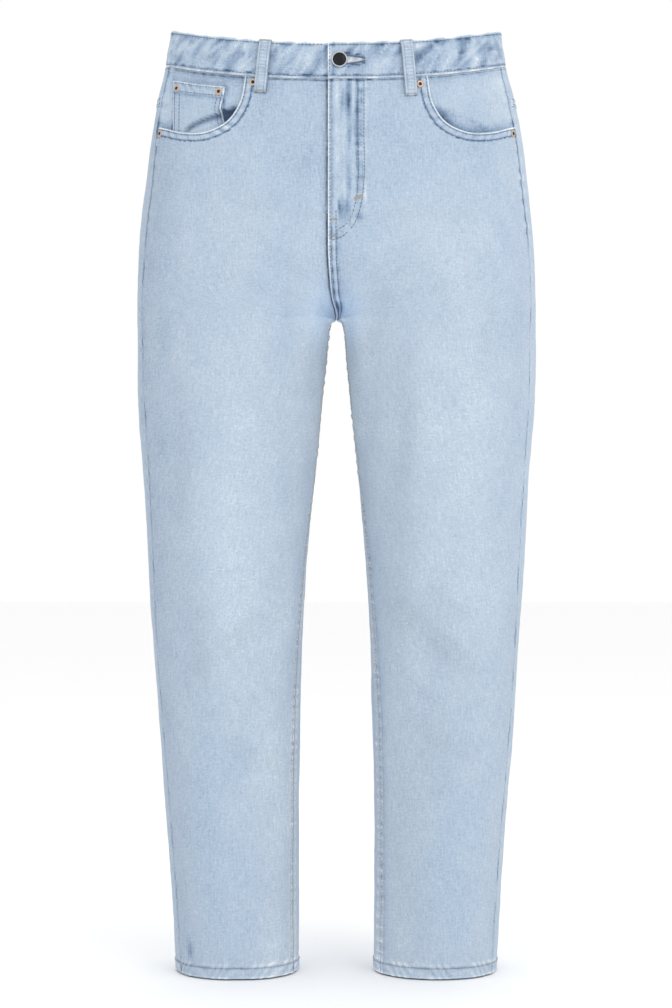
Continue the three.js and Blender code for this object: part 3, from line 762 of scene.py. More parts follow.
    def relief(self, side: int, level: Array, arc: Array, point: Array, normal: Array) -> Array:
        """All of the cloth's own lifts at places of one side.

        Args:
            side: 1 or -1.
            level: levels of the places.
            arc: arcs of the places.
            point: the places on the body's left half.
            normal: outward directions there.

        Returns:
            Lifts in mm.
        """
        seam, length = self.body.seam(level), self.body.length(level)
        placed = point * np.array([side, 1, 1])
        lift = self.folds(side, point, normal, FOLDS + CREASES)
        for field, depth in zip((self.broad, self.soft, self.fine), self.depths):
            lift += depth * field.at(placed)
        down = level + self.down_shift * side
        above_hem = smooth(HEM + 4, HEM + 26, level)
        side_d = np.abs(arc - seam)
        pucker = self.side_pucker(down) * (0.7 + 0.3 * self.side_gap(down))
        lift += above_hem * (self.side_ridge.at(side_d) + pucker * self.side_waves.at(side_d))
        on_leg = np.where(level < CROTCH, 1.0, 0.0)
        inner_d = np.minimum(np.abs(arc), np.abs(length - arc))
        inner = self.inner_pucker(down) * self.inner_waves.at(inner_d) + self.inner_ridge.at(inner_d)
        lift += on_leg * above_hem * inner
        centre_d = np.where(arc < seam, np.abs(arc), length - arc)
        centre = (1 - on_leg) * smooth(CROTCH + 2, CROTCH + 20, level)
        below_fly = np.where(arc < seam, smooth(-180, -215, level), 1.0)
        lift += centre * below_fly * self.centre_pucker(down) * self.centre_waves.at(centre_d)
        waves = self.top_pucker(arc + self.waist_shift * side) * self.band_waves.at(BAND_SEAM - level)
        return lift + waves * (level < BAND_SEAM + 1) + self.hem_relief(side, level, arc)

    def rope(self, side: int, level: Array, arc: Array) -> Array:
        """Wave of the twisted hem, from -1 to 1: a sine across slanting lines that drift."""
        drift = self.rope_drift * self.hem_twist(arc + self.hem_shift * side)
        turn = arc + self.rope_slant * (level - HEM) + drift
        return np.sin(2 * np.pi * turn / self.rope_pitch)

    def hem_relief(self, side: int, level: Array, arc: Array) -> Array:
        """Turned hem: a thicker band with its slanting ropes, which fade out above it."""
        up, rope = level - HEM, self.rope(side, level, arc)
        inside = 1 - smooth(HEM_TURN - 1.2, HEM_TURN + 0.3, up)
        return inside * (HEM_EXTRA + self.rope_height * rope) + rope * self.rope_above.at(up)

    def place(self, side: int, level: Array, arc: Array, lift: Array | float) -> Array:
        """Points of the dressed cloth, side 1 being the wearer's left, raised by lift."""
        level, arc = np.broadcast_arrays(np.asarray(level, float), np.asarray(arc, float))
        point, normal = self.body.locate(level, arc), self.body.normal(level, arc)
        move = lift + self.relief(side, level, arc, point, normal)
        return (point + normal * move[..., None]) * np.array([side, 1, 1])

    def normal(self, side: int, level: Array, arc: Array) -> Array:
        """Outward directions of one side of the body."""
        return self.body.normal(level, arc) * np.array([side, 1, 1])

    def ring(self, level: Array, place: Array, lift: Array | float) -> Array:
        """The same all round the waist: place runs from the centre front by the left side."""
        level, place = np.broadcast_arrays(np.asarray(level, float), np.asarray(place, float))
        length = self.body.length(level)
        at = np.where(place > 2 * length, place - 2 * length, place)
        right = (at > length) | (at < 0)
        own = np.where(at > length, 2 * length - at, np.abs(at))
        left_points = self.place(1, level, own, lift)
        right_points = self.place(-1, level, own, lift)
        return np.where(right[..., None], right_points, left_points)

    @staticmethod
    def soft_patches(table: tuple, side: int, x: Array, z: Array) -> Array:
        """Sum of one side's patches in a table, each a bell across and up."""
        tone = np.zeros(np.shape(x))
        for fade in table:
            if fade.side == side:
                tone += fade.tone * bump(x, fade.x, fade.wide) * bump(z, fade.z, fade.tall)
        return tone

    @staticmethod
    def frontal(normal: Array) -> Array:
        """How squarely the cloth faces front or back, from 0 to 1."""
        return smooth(0.25, 0.85, np.abs(normal[..., 1]))

    def shade(self, side: int, level: Array, arc: Array) -> Array:
        """Soft loss of light in the broad hollows and folds.

        Args:
            side: 1 or -1.
            level: levels of the places.
            arc: arcs of the places.

        Returns:
            Shares of light, mostly below 0.
        """
        point, normal = self.body.locate(level, arc), self.body.normal(level, arc)
        x, z = point[..., 0], point[..., 2]
        share = self.frontal(normal) * self.soft_patches(HOLLOWS, side, x, z)
        share += self.fold_light * self.folds(side, point, normal, FOLDS)
        share += self.crease_light * self.folds(side, point, normal, CREASES)
        share += self.soft_patches(FORK_LIGHT, BOTH, x, z)
        share += self.hem_light.at(level - HEM) + self.band_shadow.at(BAND_SEAM - level)
        beside = np.abs(arc - self.body.seam(level))
        if side < 0:
            return share + self.right_shadow.at(beside)
        return share + self.left_shadow.at(beside) * smooth(-540, -620, z)

    def wear_and_painted_light(self, side: int, level: Array, arc: Array) -> Array:
        """Fading of the dye by place on the cloth, and the light and shade painted into it.

        Args:
            side: 1 or -1.
            level: levels of the places.
            arc: arcs of the places.

        Returns:
            Tones, from -1 for dark to 1 for pale.
        """
        point, normal = self.body.locate(level, arc), self.body.normal(level, arc)
        x, z, front = point[..., 0], point[..., 2], self.frontal(normal)
        seam, length = self.body.seam(level), self.body.length(level)
        tone = front * self.soft_patches(WORN, BOTH, x, z)
        # Patches of tone, the two at the fork being painted light
        tone += front * self.soft_patches(FADES_AND_FORK_LIGHT, side, x, z) * (arc < seam)
        tone += 0.05 * smooth(-660, -800, z) + 0.06 * smooth(-860, -985, z)
        down = level + self.down_shift * side
        side_d, ahead = np.abs(arc - seam), seam - arc
        flecks = self.side_pucker(down)
        broken = np.maximum(0.5 + 0.35 * flecks + 0.3 * self.side_gap(down), smooth(-236, -226, z))
        tone += (0.95 + 0.3 * (side > 0)) * np.clip(broken, 0, 1.2) * self.side_line.at(ahead)
        tone += self.side_felled.at(ahead) + flecks * self.side_flecks.at(side_d)
        # Painted light on the wearer's left side, which faces the key lamp
        tone += self.lit_side_light.at(side_d) * (side > 0)
        inner_d = np.minimum(np.abs(arc), np.abs(length - arc))
        inner = self.inner_pucker(down) * self.inner_flecks.at(inner_d) + self.inner_edge.at(inner_d)
        # Its first term is painted light on the upper inner thighs
        inner += smooth(-560, -380, z) * self.inner_thigh_light.at(inner_d) + self.inner_leg.at(inner_d)
        tone += np.where(level < CROTCH, 1.0, 0.0) * inner
        under_band, up = BAND_SEAM - level, level - HEM
        uneven = 0.85 + 0.25 * self.top_pucker(arc + self.waist_shift * side)
        # Pale edge of the panel, and the painted shadow under the waistband
        tone += self.band_edge.at(under_band) + uneven * self.band_shadow_line.at(under_band)
        placed = point * np.array([side, 1, 1])
        tone += 0.05 * self.stain.at(placed) + 0.03 * self.soft.at(placed)
        near_hem = 1 - smooth(HEM_TURN, HEM_TURN + 8, up)
        tone += self.rope_tone * self.rope(side, level, arc) * near_hem
        # The hem's lines, its pale foot being painted light
        return tone + marked(self.hem_wear_and_painted_light, up)

    def wall(self, side: int, level: Array, arc: Array, lifts: tuple, tone: Array, **extra) -> Sheet:
        """Closed wall of a piece on one side.

        Args:
            side: 1 or -1.
            level: levels (rows, columns).
            arc: arcs of the same shape.
            lifts: outer and inner lift, mm.
            tone: fading of the dye, with painted light and shade (rows, columns).
            extra: shade, and flat where the flat map isn't the arcs and levels.

        Returns:
            The wall as one Sheet.
        """
        outer, inner = (self.place(side, level, arc, lift) for lift in lifts)
        flat = extra.get("flat", np.stack([arc, level], axis=-1))
        return make_wall(outer, inner, flat, tone, side < 0, extra.get("shade", 0.0))

    def ring_wall(self, level: Array, place: Array, lifts: tuple, tone: Array) -> Sheet:
        """The same for a piece that is placed round the waist."""
        outer, inner = (self.ring(level, place, lift) for lift in lifts)
        return make_wall(outer, inner, np.stack([place, level], axis=-1), tone, False)


def steps_along(total: float, step: float, near: tuple = (), far: tuple = ()) -> Array:
    """Places from 0 to total, an equal step apart, with given close steps at either end."""
    low, high = (near[-1] if near else 0.0), total - (far[-1] if far else 0.0)
    middle = np.linspace(low, high, max(2, int(round((high - low) / step)) + 1))
    return np.unique(np.r_[list(near), middle, [total - place for place in far]])


def with_fork_rows(levels: Array) -> Array:
    """Falling levels with more of them just at the fork of the legs."""
    far = levels[np.abs(levels - CROTCH) > 6]
    return np.sort(np.r_[far, FORK_ROWS])[::-1]


def share_across(width: Array, step: float, near: tuple, far: tuple) -> Array:
    """Column shares (rows, columns) from 0 to 1, with the close steps kept in mm at both ends."""
    width = np.asarray(width, float)[:, None]
    count = max(2, int(np.ceil((width.max() - near[-1] - far[-1]) / step)))
    t = np.linspace(0, 1, count + 1)[None, :]
    middle = near[-1] + (width - near[-1] - far[-1]) * t
    first = np.broadcast_to(near[:-1], (len(width), len(near) - 1))
    last = width - np.array(far[:-1])[::-1]
    return np.concatenate([first, middle, last], axis=1) / width


def wall_faces(rows: int, columns: int, turned: bool) -> Array:
    """Quads of a closed wall: an outer and an inner grid, and the rim between them."""
    index = np.arange(2 * rows * columns).reshape(2, rows, columns)
    out, into = index
    a, b, c, d = out[:-1, :-1], out[1:, :-1], out[1:, 1:], out[:-1, 1:]
    e, f, g, h = into[:-1, :-1], into[1:, :-1], into[1:, 1:], into[:-1, 1:]
    quads = [np.stack([a, b, c, d], -1).reshape(-1, 4), np.stack([e, h, g, f], -1).reshape(-1, 4)]
    rim_out = np.r_[out[:, 0], out[-1, 1:], out[-2::-1, -1], out[0, -2::-1]]
    rim_in = np.r_[into[:, 0], into[-1, 1:], into[-2::-1, -1], into[0, -2::-1]]
    quads.append(np.stack([rim_out[:-1], rim_in[:-1], rim_in[1:], rim_out[1:]], -1))
    faces = np.concatenate(quads)
    return faces[:, ::-1] if turned else faces


def edge_distance(points: Array) -> Array:
    """Distance of each grid point to the grid's nearest edge, along its row or column, mm."""
    across = np.linalg.norm(np.diff(points, axis=1), axis=-1)
    down = np.linalg.norm(np.diff(points, axis=0), axis=-1)
    left = np.pad(np.cumsum(across, axis=1), ((0, 0), (1, 0)))
    top = np.pad(np.cumsum(down, axis=0), ((1, 0), (0, 0)))
    pieces = [left, left[:, -1:] - left, top, top[-1:] - top]
    return np.minimum.reduce(pieces)


def round_off(distance: Array, radius: float) -> Array:
    """Drop of a rounded edge: a quarter circle within its radius of the edge."""
    near = np.clip(1 - distance / radius, 0, 1)
    return radius * (1 - np.sqrt(1 - near * near))


@dataclass
class Sheet:
    """Geometry of one cloth wall before it becomes an object."""

    points: Array
    faces: Array
    uv: Array
    wear_and_painted_light: Array
    shade: Array
    inside: Array
    flat: tuple[float, float]
    area: float

    def joined(self, other: Sheet) -> Sheet:
        """This wall and another as one mesh, with this one's flat cut."""
        names = ("points", "uv", "wear_and_painted_light", "shade", "inside")
        both = {name: np.concatenate([getattr(self, name), getattr(other, name)]) for name in names}
        faces = np.concatenate([self.faces, other.faces + len(self.points)])
        return Sheet(faces=faces, flat=self.flat, area=self.area, **both)


def flat_cut(points: Array) -> tuple[tuple[float, float], float]:
    """Greatest width and length of a grid of points, in metres, and its area."""
    along, down = np.diff(points, axis=1), np.diff(points, axis=0)
    width = np.linalg.norm(along, axis=-1).sum(1).max()
    length = np.linalg.norm(down, axis=-1).sum(0).max()
    area = np.linalg.norm(np.cross(along[:-1], down[:, :-1]), axis=-1).sum()
    return (float(width) * MM, float(length) * MM), float(area) * MM * MM


def make_wall(
    outer: Array,
    inner: Array,
    uv: Array,
    wear_and_painted_light: Array,
    turned: bool,
    shade: Number = 0.0,
) -> Sheet:
    """Closed wall from an outer and an inner grid.

    Args:
        outer: outer points (rows, columns, 3), mm.
        inner: inner points of the same shape.
        uv: place on the flat cloth (rows, columns, 2), mm.
        wear_and_painted_light: fading of the dye, with painted light and shade (rows, columns).
        turned: True where the columns run round by the wearer's right.
        shade: share of light kept or lost, 0 where it stays (rows, columns).

    Returns:
        The wall as one Sheet.
    """
    rows, columns = outer.shape[:2]
    size, area = flat_cut(outer)
    return Sheet(
        points=np.concatenate([outer.reshape(-1, 3), inner.reshape(-1, 3)]),
        faces=wall_faces(rows, columns, turned),
        uv=np.tile(uv.reshape(-1, 2), (2, 1)),
        wear_and_painted_light=np.tile(wear_and_painted_light.ravel(), 2),
        shade=np.tile(np.broadcast_to(shade, wear_and_painted_light.shape).ravel(), 2),
        inside=np.repeat([0.0, 1.0], rows * columns),
        flat=size,
        area=area,
    )


def make_object(
    name: str,
    points: Array,
    faces: Array,
    material: bpy.types.Material,
) -> bpy.types.Object:
    """Smooth-shaded mesh object at the origin.

    Args:
        name: its name.
        points: its points, mm.
        faces: faces of one size, as rows of point numbers.
        material: its material.

    Returns:
        The new object.
    """
    mesh = bpy.data.meshes.new(name)
    size = faces.shape[1]
    mesh.vertices.add(len(points))
    mesh.vertices.foreach_set("co", (np.asarray(points, np.float32) * MM).ravel())
    mesh.loops.add(faces.size)
    mesh.loops.foreach_set("vertex_index", faces.astype(np.int32).ravel())
    mesh.polygons.add(len(faces))
    mesh.polygons.foreach_set("loop_start", np.arange(0, faces.size, size, dtype=np.int32))
    mesh.polygons.foreach_set("use_smooth", np.ones(len(faces), bool))
    mesh.update(calc_edges=True)
    mesh.validate()
    mesh.materials.append(material)
    piece = bpy.data.objects.new(name, mesh)
    bpy.context.scene.collection.objects.link(piece)
    return piece


def make_cloth(name: str, sheet: Sheet, material: bpy.types.Material) -> bpy.types.Object:
    """Cloth object with its own flat map in metres and its dye-and-light tone, shade and inside
    attributes.
    """
    piece = make_object(name, sheet.points, sheet.faces, material)
    mesh = piece.data
    corners = np.empty(len(mesh.loops), np.int32)
    mesh.loops.foreach_get("vertex_index", corners)
    layer = mesh.uv_layers.new(name="cloth")
    layer.data.foreach_set("uv", (sheet.uv[corners] * MM).astype(np.float32).ravel())
    for key, values in (("wear_and_painted_light", sheet.wear_and_painted_light), ("shade", sheet.shade), ("inside", sheet.inside)):
        attribute = mesh.attributes.new(key, "FLOAT", "POINT")
        attribute.data.foreach_set("value", np.asarray(values, np.float32))
    return piece


def rounded(lift: Number, edge: Array) -> tuple[Array, Array]:
    """Outer and inner lifts of a panel whose edges are rounded off, more on the outside."""
    return lift - 0.6 * edge, lift - CLOTH + 0.3 * edge


@dataclass
class FrontPanel:
    """One front, from the fly to the side seam, with the scooped pocket mouth and its rim.

    Its rows fan out: their outer ends run down the scoop's line and then the side seam, and
    their inner ends down the centre or the inseam.
    """

    cloth: Cloth
    side: int
    # Spacing down the scoop, how far the rows slope at first, where they level out, and their curve
    scoop_step: float = 2.4
    left_drop: float = 21.0
    fan_length: float = 95.0
    fan_power: float = 1.6
    # Lines beside the left front's centre edge, and below the foot of the fly
    edge_pale: Mark = Mark(1.1, 1.3, 1.0)
    edge_dark: Mark = Mark(3.7, 1.1, -1.0)
    low_lines: Marks = (Mark(7.2, 1.2, 0.3), Mark(9.4, 1.2, -1.0), Mark(13, 3, -0.2))
    low_flecks: Mark = Mark(5, 5, 0.2)
    # Pressed streaks of the fly by their arc, and the ladder of flecks under its stitching
    streaks: Marks = (
        Mark(-3.5, 1.6, -0.2),
        Mark(0.5, 3.0, 0.45),
        Mark(7.5, 2.0, 0.35),
        Mark(12.5, 2.4, -0.35),
        Mark(17, 1.8, 0.4),
        Mark(21, 1.6, -0.55),
        Mark(25.2, 1.4, -0.35),
        Mark(29.5, 1.4, 0.35),
        Mark(32, 1.6, -0.1),
    )
    streak_shift: float = 40.0
    ladder_line: Mark = Mark(24, 5, 0.22)
    # Relief of the fly, mm
    fly_ridge: Mark = Mark(12, 4, 0.3)
    fly_groove: Mark = Mark(24.5, 2.2, -0.25)
    fly_waves: float = 0.14
    # Painted shadow on the right front beside the left one's edge: a dark line in the dye and a loss of
    # light
    seam_shadow_line: Mark = Mark(0.7, 1.4, -1.0)
    seam_shadow: Marks = (Mark(1.0, 2.0, -0.2), Mark(3.5, 3.0, -0.08))
    # Rim of the pocket mouth: spacing, places across it, its two sewn grooves, and the painted shadow
    # below it
    rim_step: float = 1.6
    rim_across: Floats = (-0.5, -0.35, 0.1, 0.9, 2, 3.2, 4.6, 6, 7.4, 8.4, 9.2, 9.9, 10.5)
    rim_grooves: Marks = (Mark(1.9, 0.8, 1.0), Mark(8.2, 0.8, 1.0))
    rim_middle: Mark = Mark(5, 4, 1.0)
    rim_pale: Mark = Mark(0.2, 1.5, 1.0)
    rim_shadow: Mark = Mark(9.9, 1.5, -0.8)

    @staticmethod
    def seam_line(level: Array) -> Array:
        """How far the seam between the fronts lies to the right of the middle."""
        drift = smooth(CROTCH + 1, FLY_SEAM_END, level)
        turn = smooth(CROTCH + 1, FLY_SEAM_TURN, level)
        return FLY_EDGE * (FLY_SEAM_KEPT * turn + (1 - FLY_SEAM_KEPT) * drift)

    def inner_arc(self, level: Array) -> Array:
        """Arc of the centre edge, past the middle on the left front."""
        line = self.seam_line(level)
        if self.side > 0:
            return SEAM_GAP / 2 - line
        closed = line + SEAM_GAP / 2
        return closed - smooth(FLY_CLOSED, FLY_FOOT, level) * (closed + FLY_UNDER)

    def sink(self, level: Array, arc: Array) -> Array:
        """How far the right front goes in under the left one."""
        if self.side > 0:
            return np.zeros(np.shape(arc))
        under = smooth(FLY_FLUSH, FLY_CLOSED, level) * smooth(27, 11, arc)
        return -(CLOTH + FLY_GAP) * under

    def grid(self) -> tuple[Array, Array]:
        """Levels and arcs (rows, columns) of the panel."""
        body = self.cloth.body
        path = self.cloth.scoop_line()
        total = chord_along(path)[-1]
        at = steps_along(total, self.scoop_step, SEAM_STEPS)
        scoop = read_line(path, at)
        corner = scoop[-1, 0]
        below = with_fork_rows(corner - steps_along(corner - HEM, GRID, (0.0, 2.0), HEM_STEPS)[1:])
        right_level = np.r_[scoop[:, 0], below]
        right_arc = np.r_[scoop[:, 1], body.seam(below) - SEAM_GAP / 2]
        left_scoop = BAND_SEAM + (corner - self.left_drop - BAND_SEAM) * at / total
        fade = self.left_drop * smooth(corner - self.fan_length, corner, below)
        left_level = np.r_[left_scoop, below - fade]
        left_arc = self.inner_arc(left_level)
        share = share_across(right_arc - left_arc, GRID, SEAM_STEPS, SEAM_STEPS)
        fan = (right_level - left_level)[:, None] * share**self.fan_power
        return left_level[:, None] + fan, left_arc[:, None] + (right_arc - left_arc)[:, None] * share

    def gape(self, level: Array, arc: Array) -> Array:
        """Lift of the pocket mouth, which stands a little open at its lower inner bend."""
        near = self.cloth.scoop_distance(level, arc)
        bend = bump(arc, 128, 34) * bump(level, -92, 30)
        return 1.3 * bend * bump(near, 0, 15)

    def fly_relief(self, level: Array, arc: Array) -> Array:
        """Pressed bands beside the fly's edge and the drawn line of the J stitch."""
        if self.side < 0:
            return np.zeros(np.shape(arc))
        on_fly = smooth(-236, -222, level) * smooth(42, 30, arc)
        wave = self.fly_waves * self.cloth.centre_pucker(level * 1.3)
        return on_fly * (self.fly_ridge.at(arc) + self.fly_groove.at(arc) + wave)

    def fly_wear(self, level: Array, arc: Array) -> Array:
        """Fading of the left front's fly.

        Args:
            level: levels of the places.
            arc: arcs of the places.

        Returns:
            Tones of the pressed streaks, dark patches and lines along its edge.
        """
        cloth, edge = self.cloth, arc + self.seam_line(level)
        ladder = cloth.centre_pucker(level)
        tone = (0.75 + 0.3 * smooth(-300, -230, level)) * self.edge_pale.at(edge)
        tone += (0.55 + 0.6 * smooth(-205, -222, level)) * self.edge_dark.at(edge)
        pressed = smooth(-220, -200, level)
        for streak in self.streaks:
            uneven = 1 + 0.45 * cloth.side_gap(level + self.streak_shift * streak.off) + 0.12 * ladder
            tone += pressed * uneven * streak.at(arc)
        head = 0.55 + 0.25 * cloth.soft.at(np.stack([arc * 6, 0 * arc, level * 0.7], axis=-1))
        tone += head * cloth.soft_patches(FLY_PATCHES, 1, arc, level)
        tone += pressed * ladder * self.ladder_line.at(arc)
        low = smooth(-212, -225, level)
        tone += low * (marked(self.low_lines, edge) + ladder * self.low_flecks.at(edge))
        return tone + cloth.soft_patches(FLY_FORK, 1, edge, level)

    def wear_and_painted_light(self, level: Array, arc: Array) -> Array:
        """Fading of the panel, the fly's marks on the left, and a painted shadow by its seam on the
        right.
        """
        tone = self.cloth.wear_and_painted_light(self.side, level, arc)
        if self.side > 0:
            return tone + self.fly_wear(level, arc)
        # Painted shadow under the left front's edge, uneven, stronger below the fly
        rough = 0.9 + 0.14 * self.cloth.centre_pucker(level) + 0.7 * smooth(-190, -215, level)
        return tone + rough * self.seam_shadow_line.at(arc - self.seam_line(level))

    def build(self) -> Sheet:
        """Panel and the rim of its pocket mouth as one Sheet."""
        cloth, side = self.cloth, self.side
        level, arc = self.grid()
        edge = round_off(edge_distance(cloth.body.locate(level, arc)), EDGE_ROUND)
        lift = self.sink(level, arc) + self.gape(level, arc) + self.fly_relief(level, arc)
        shade = cloth.shade(side, level, arc)
        if side < 0:
            shade += marked(self.seam_shadow, arc - self.seam_line(level))
        tone = self.wear_and_painted_light(level, arc)
        panel = cloth.wall(side, level, arc, rounded(lift, edge), tone, shade=shade)
        return panel.joined(self.rim())

    def rim(self) -> Sheet:
        """Turned rim of the pocket mouth: a flat roll along the scoop, puckered by its stitching."""
        cloth, side = self.cloth, self.side
        path = spaced(cloth.scoop_line(), self.rim_step)
        tangent = unit(np.gradient(path, axis=0))
        across = np.array(self.rim_across)[:, None]
        level = np.minimum(path[None, :, 0] - across * tangent[None, :, 1], BAND_SEAM - 0.05)
        arc = path[None, :, 1] + across * tangent[None, :, 0]
        arc = np.minimum(arc, cloth.body.seam(level) - SEAM_GAP / 2)
        run = np.linspace(0, self.rim_step * len(path), len(path))[None, :] + 400 * side
        pucker = cloth.rim_pucker(run + 0.5 * across)
        roll = smooth(-0.5, 0.7, across) * smooth(10.5, 9.0, across)
        puffed = pucker * self.rim_middle.at(across)
        grooves = marked(self.rim_grooves, across)
        gape = self.gape(level, arc)
        over = gape + roll * (0.62 + 0.16 * puffed - 0.22 * grooves) - 0.2
        lifts = (over, gape - CLOTH - 0.1 - 0.35 * roll)
        # Uneven strength of the painted shadow along the rim's lower edge
        ticks = np.clip(0.7 + 0.4 * cloth.fine_pucker(run) + 0.35 * pucker[6], 0, 1.6)
        tone = cloth.wear_and_painted_light(side, level, arc) + self.rim_pale.at(across)
        tone += 0.25 * puffed - 0.95 * grooves + ticks * self.rim_shadow.at(across)
        flat = np.stack([run + 0 * level, across + 0 * level], axis=-1)
        return cloth.wall(side, level, arc, lifts, tone, flat=flat)


@dataclass
class BackPanel:
    """One back, from the yoke seam to the hem, between the side seam and the centre back."""

    cloth: Cloth
    side: int
    # Dye of the seat, and the yoke's pale folded edge
    seat: Mark = Mark(-190, 60, 0.12)
    felled_edge: Mark = Mark(0, 1.4, 0.4)
    felled_waves: Mark = Mark(4.5, 3, 0.25)
    felled_height: float = 0.45
    yoke_rows: Floats = (0.0, 0.008, 0.02, 0.04)

    @staticmethod
    def yoke_edge(share: Array) -> Array:
        """Level of the yoke seam, share being 0 at the side seam and 1 at the centre back."""
        return BAND_SEAM - YOKE_SIDE - (YOKE_CENTRE - YOKE_SIDE) * share

    def span(self, level: Array) -> tuple[Array, Array]:
        """Arc where the back begins, and its width."""
        seam, length = self.cloth.body.seam(level), self.cloth.body.length(level)
        return seam + SEAM_GAP / 2, length - seam - SEAM_GAP

    def grid(self) -> tuple[Array, Array]:
        """Levels and arcs (rows, columns) of the panel."""
        top = self.yoke_edge(np.zeros(1))[0] - SEAM_GAP
        rows = with_fork_rows(top - steps_along(top - HEM, GRID, SEAM_STEPS, HEM_STEPS))
        start, width = self.span(rows)
        share = share_across(width, GRID, SEAM_STEPS, SEAM_STEPS)
        near = np.maximum(0, (rows - YOKE_FADE) / (top - YOKE_FADE))[:, None]
        level = rows[:, None] + (self.yoke_edge(share) - SEAM_GAP - top) * near
        start, width = self.span(level)
        return level, start + width * share

    def build(self) -> Sheet:
        """The panel as one Sheet."""
        cloth, side = self.cloth, self.side
        level, arc = self.grid()
        edge = round_off(edge_distance(cloth.body.locate(level, arc)), EDGE_ROUND)
        tone = cloth.wear_and_painted_light(side, level, arc) + self.seat.at(level)
        shade = cloth.shade(side, level, arc)
        return cloth.wall(side, level, arc, rounded(0.0, edge), tone, shade=shade)

    def yoke(self) -> Sheet:
        """The yoke above it, felled over the back along their seam."""
        cloth, side = self.cloth, self.side
        down = steps_along(1.0, GRID / YOKE_CENTRE, self.yoke_rows, self.yoke_rows)
        _, width = self.span(np.array([BAND_SEAM - YOKE_SIDE]))
        share = share_across(width, GRID, SEAM_STEPS, SEAM_STEPS)
        level = BAND_SEAM + (self.yoke_edge(share) - BAND_SEAM) * down[:, None]
        start, width = self.span(level)
        arc = start + width * share
        edge = round_off(edge_distance(cloth.body.locate(level, arc)), EDGE_ROUND)
        from_seam = level - self.yoke_edge(share)
        pucker = cloth.yoke_pucker(arc + 300 * side)
        felled = smooth(9.5, 7.5, from_seam)
        lift = felled * (self.felled_height + pucker * self.felled_waves.at(from_seam))
        tone = cloth.wear_and_painted_light(side, level, arc) + self.felled_edge.at(from_seam) + felled * 0.3 * pucker
        return cloth.wall(side, level, arc, (lift - 0.6 * edge, -CLOTH + 0.3 * edge), tone)


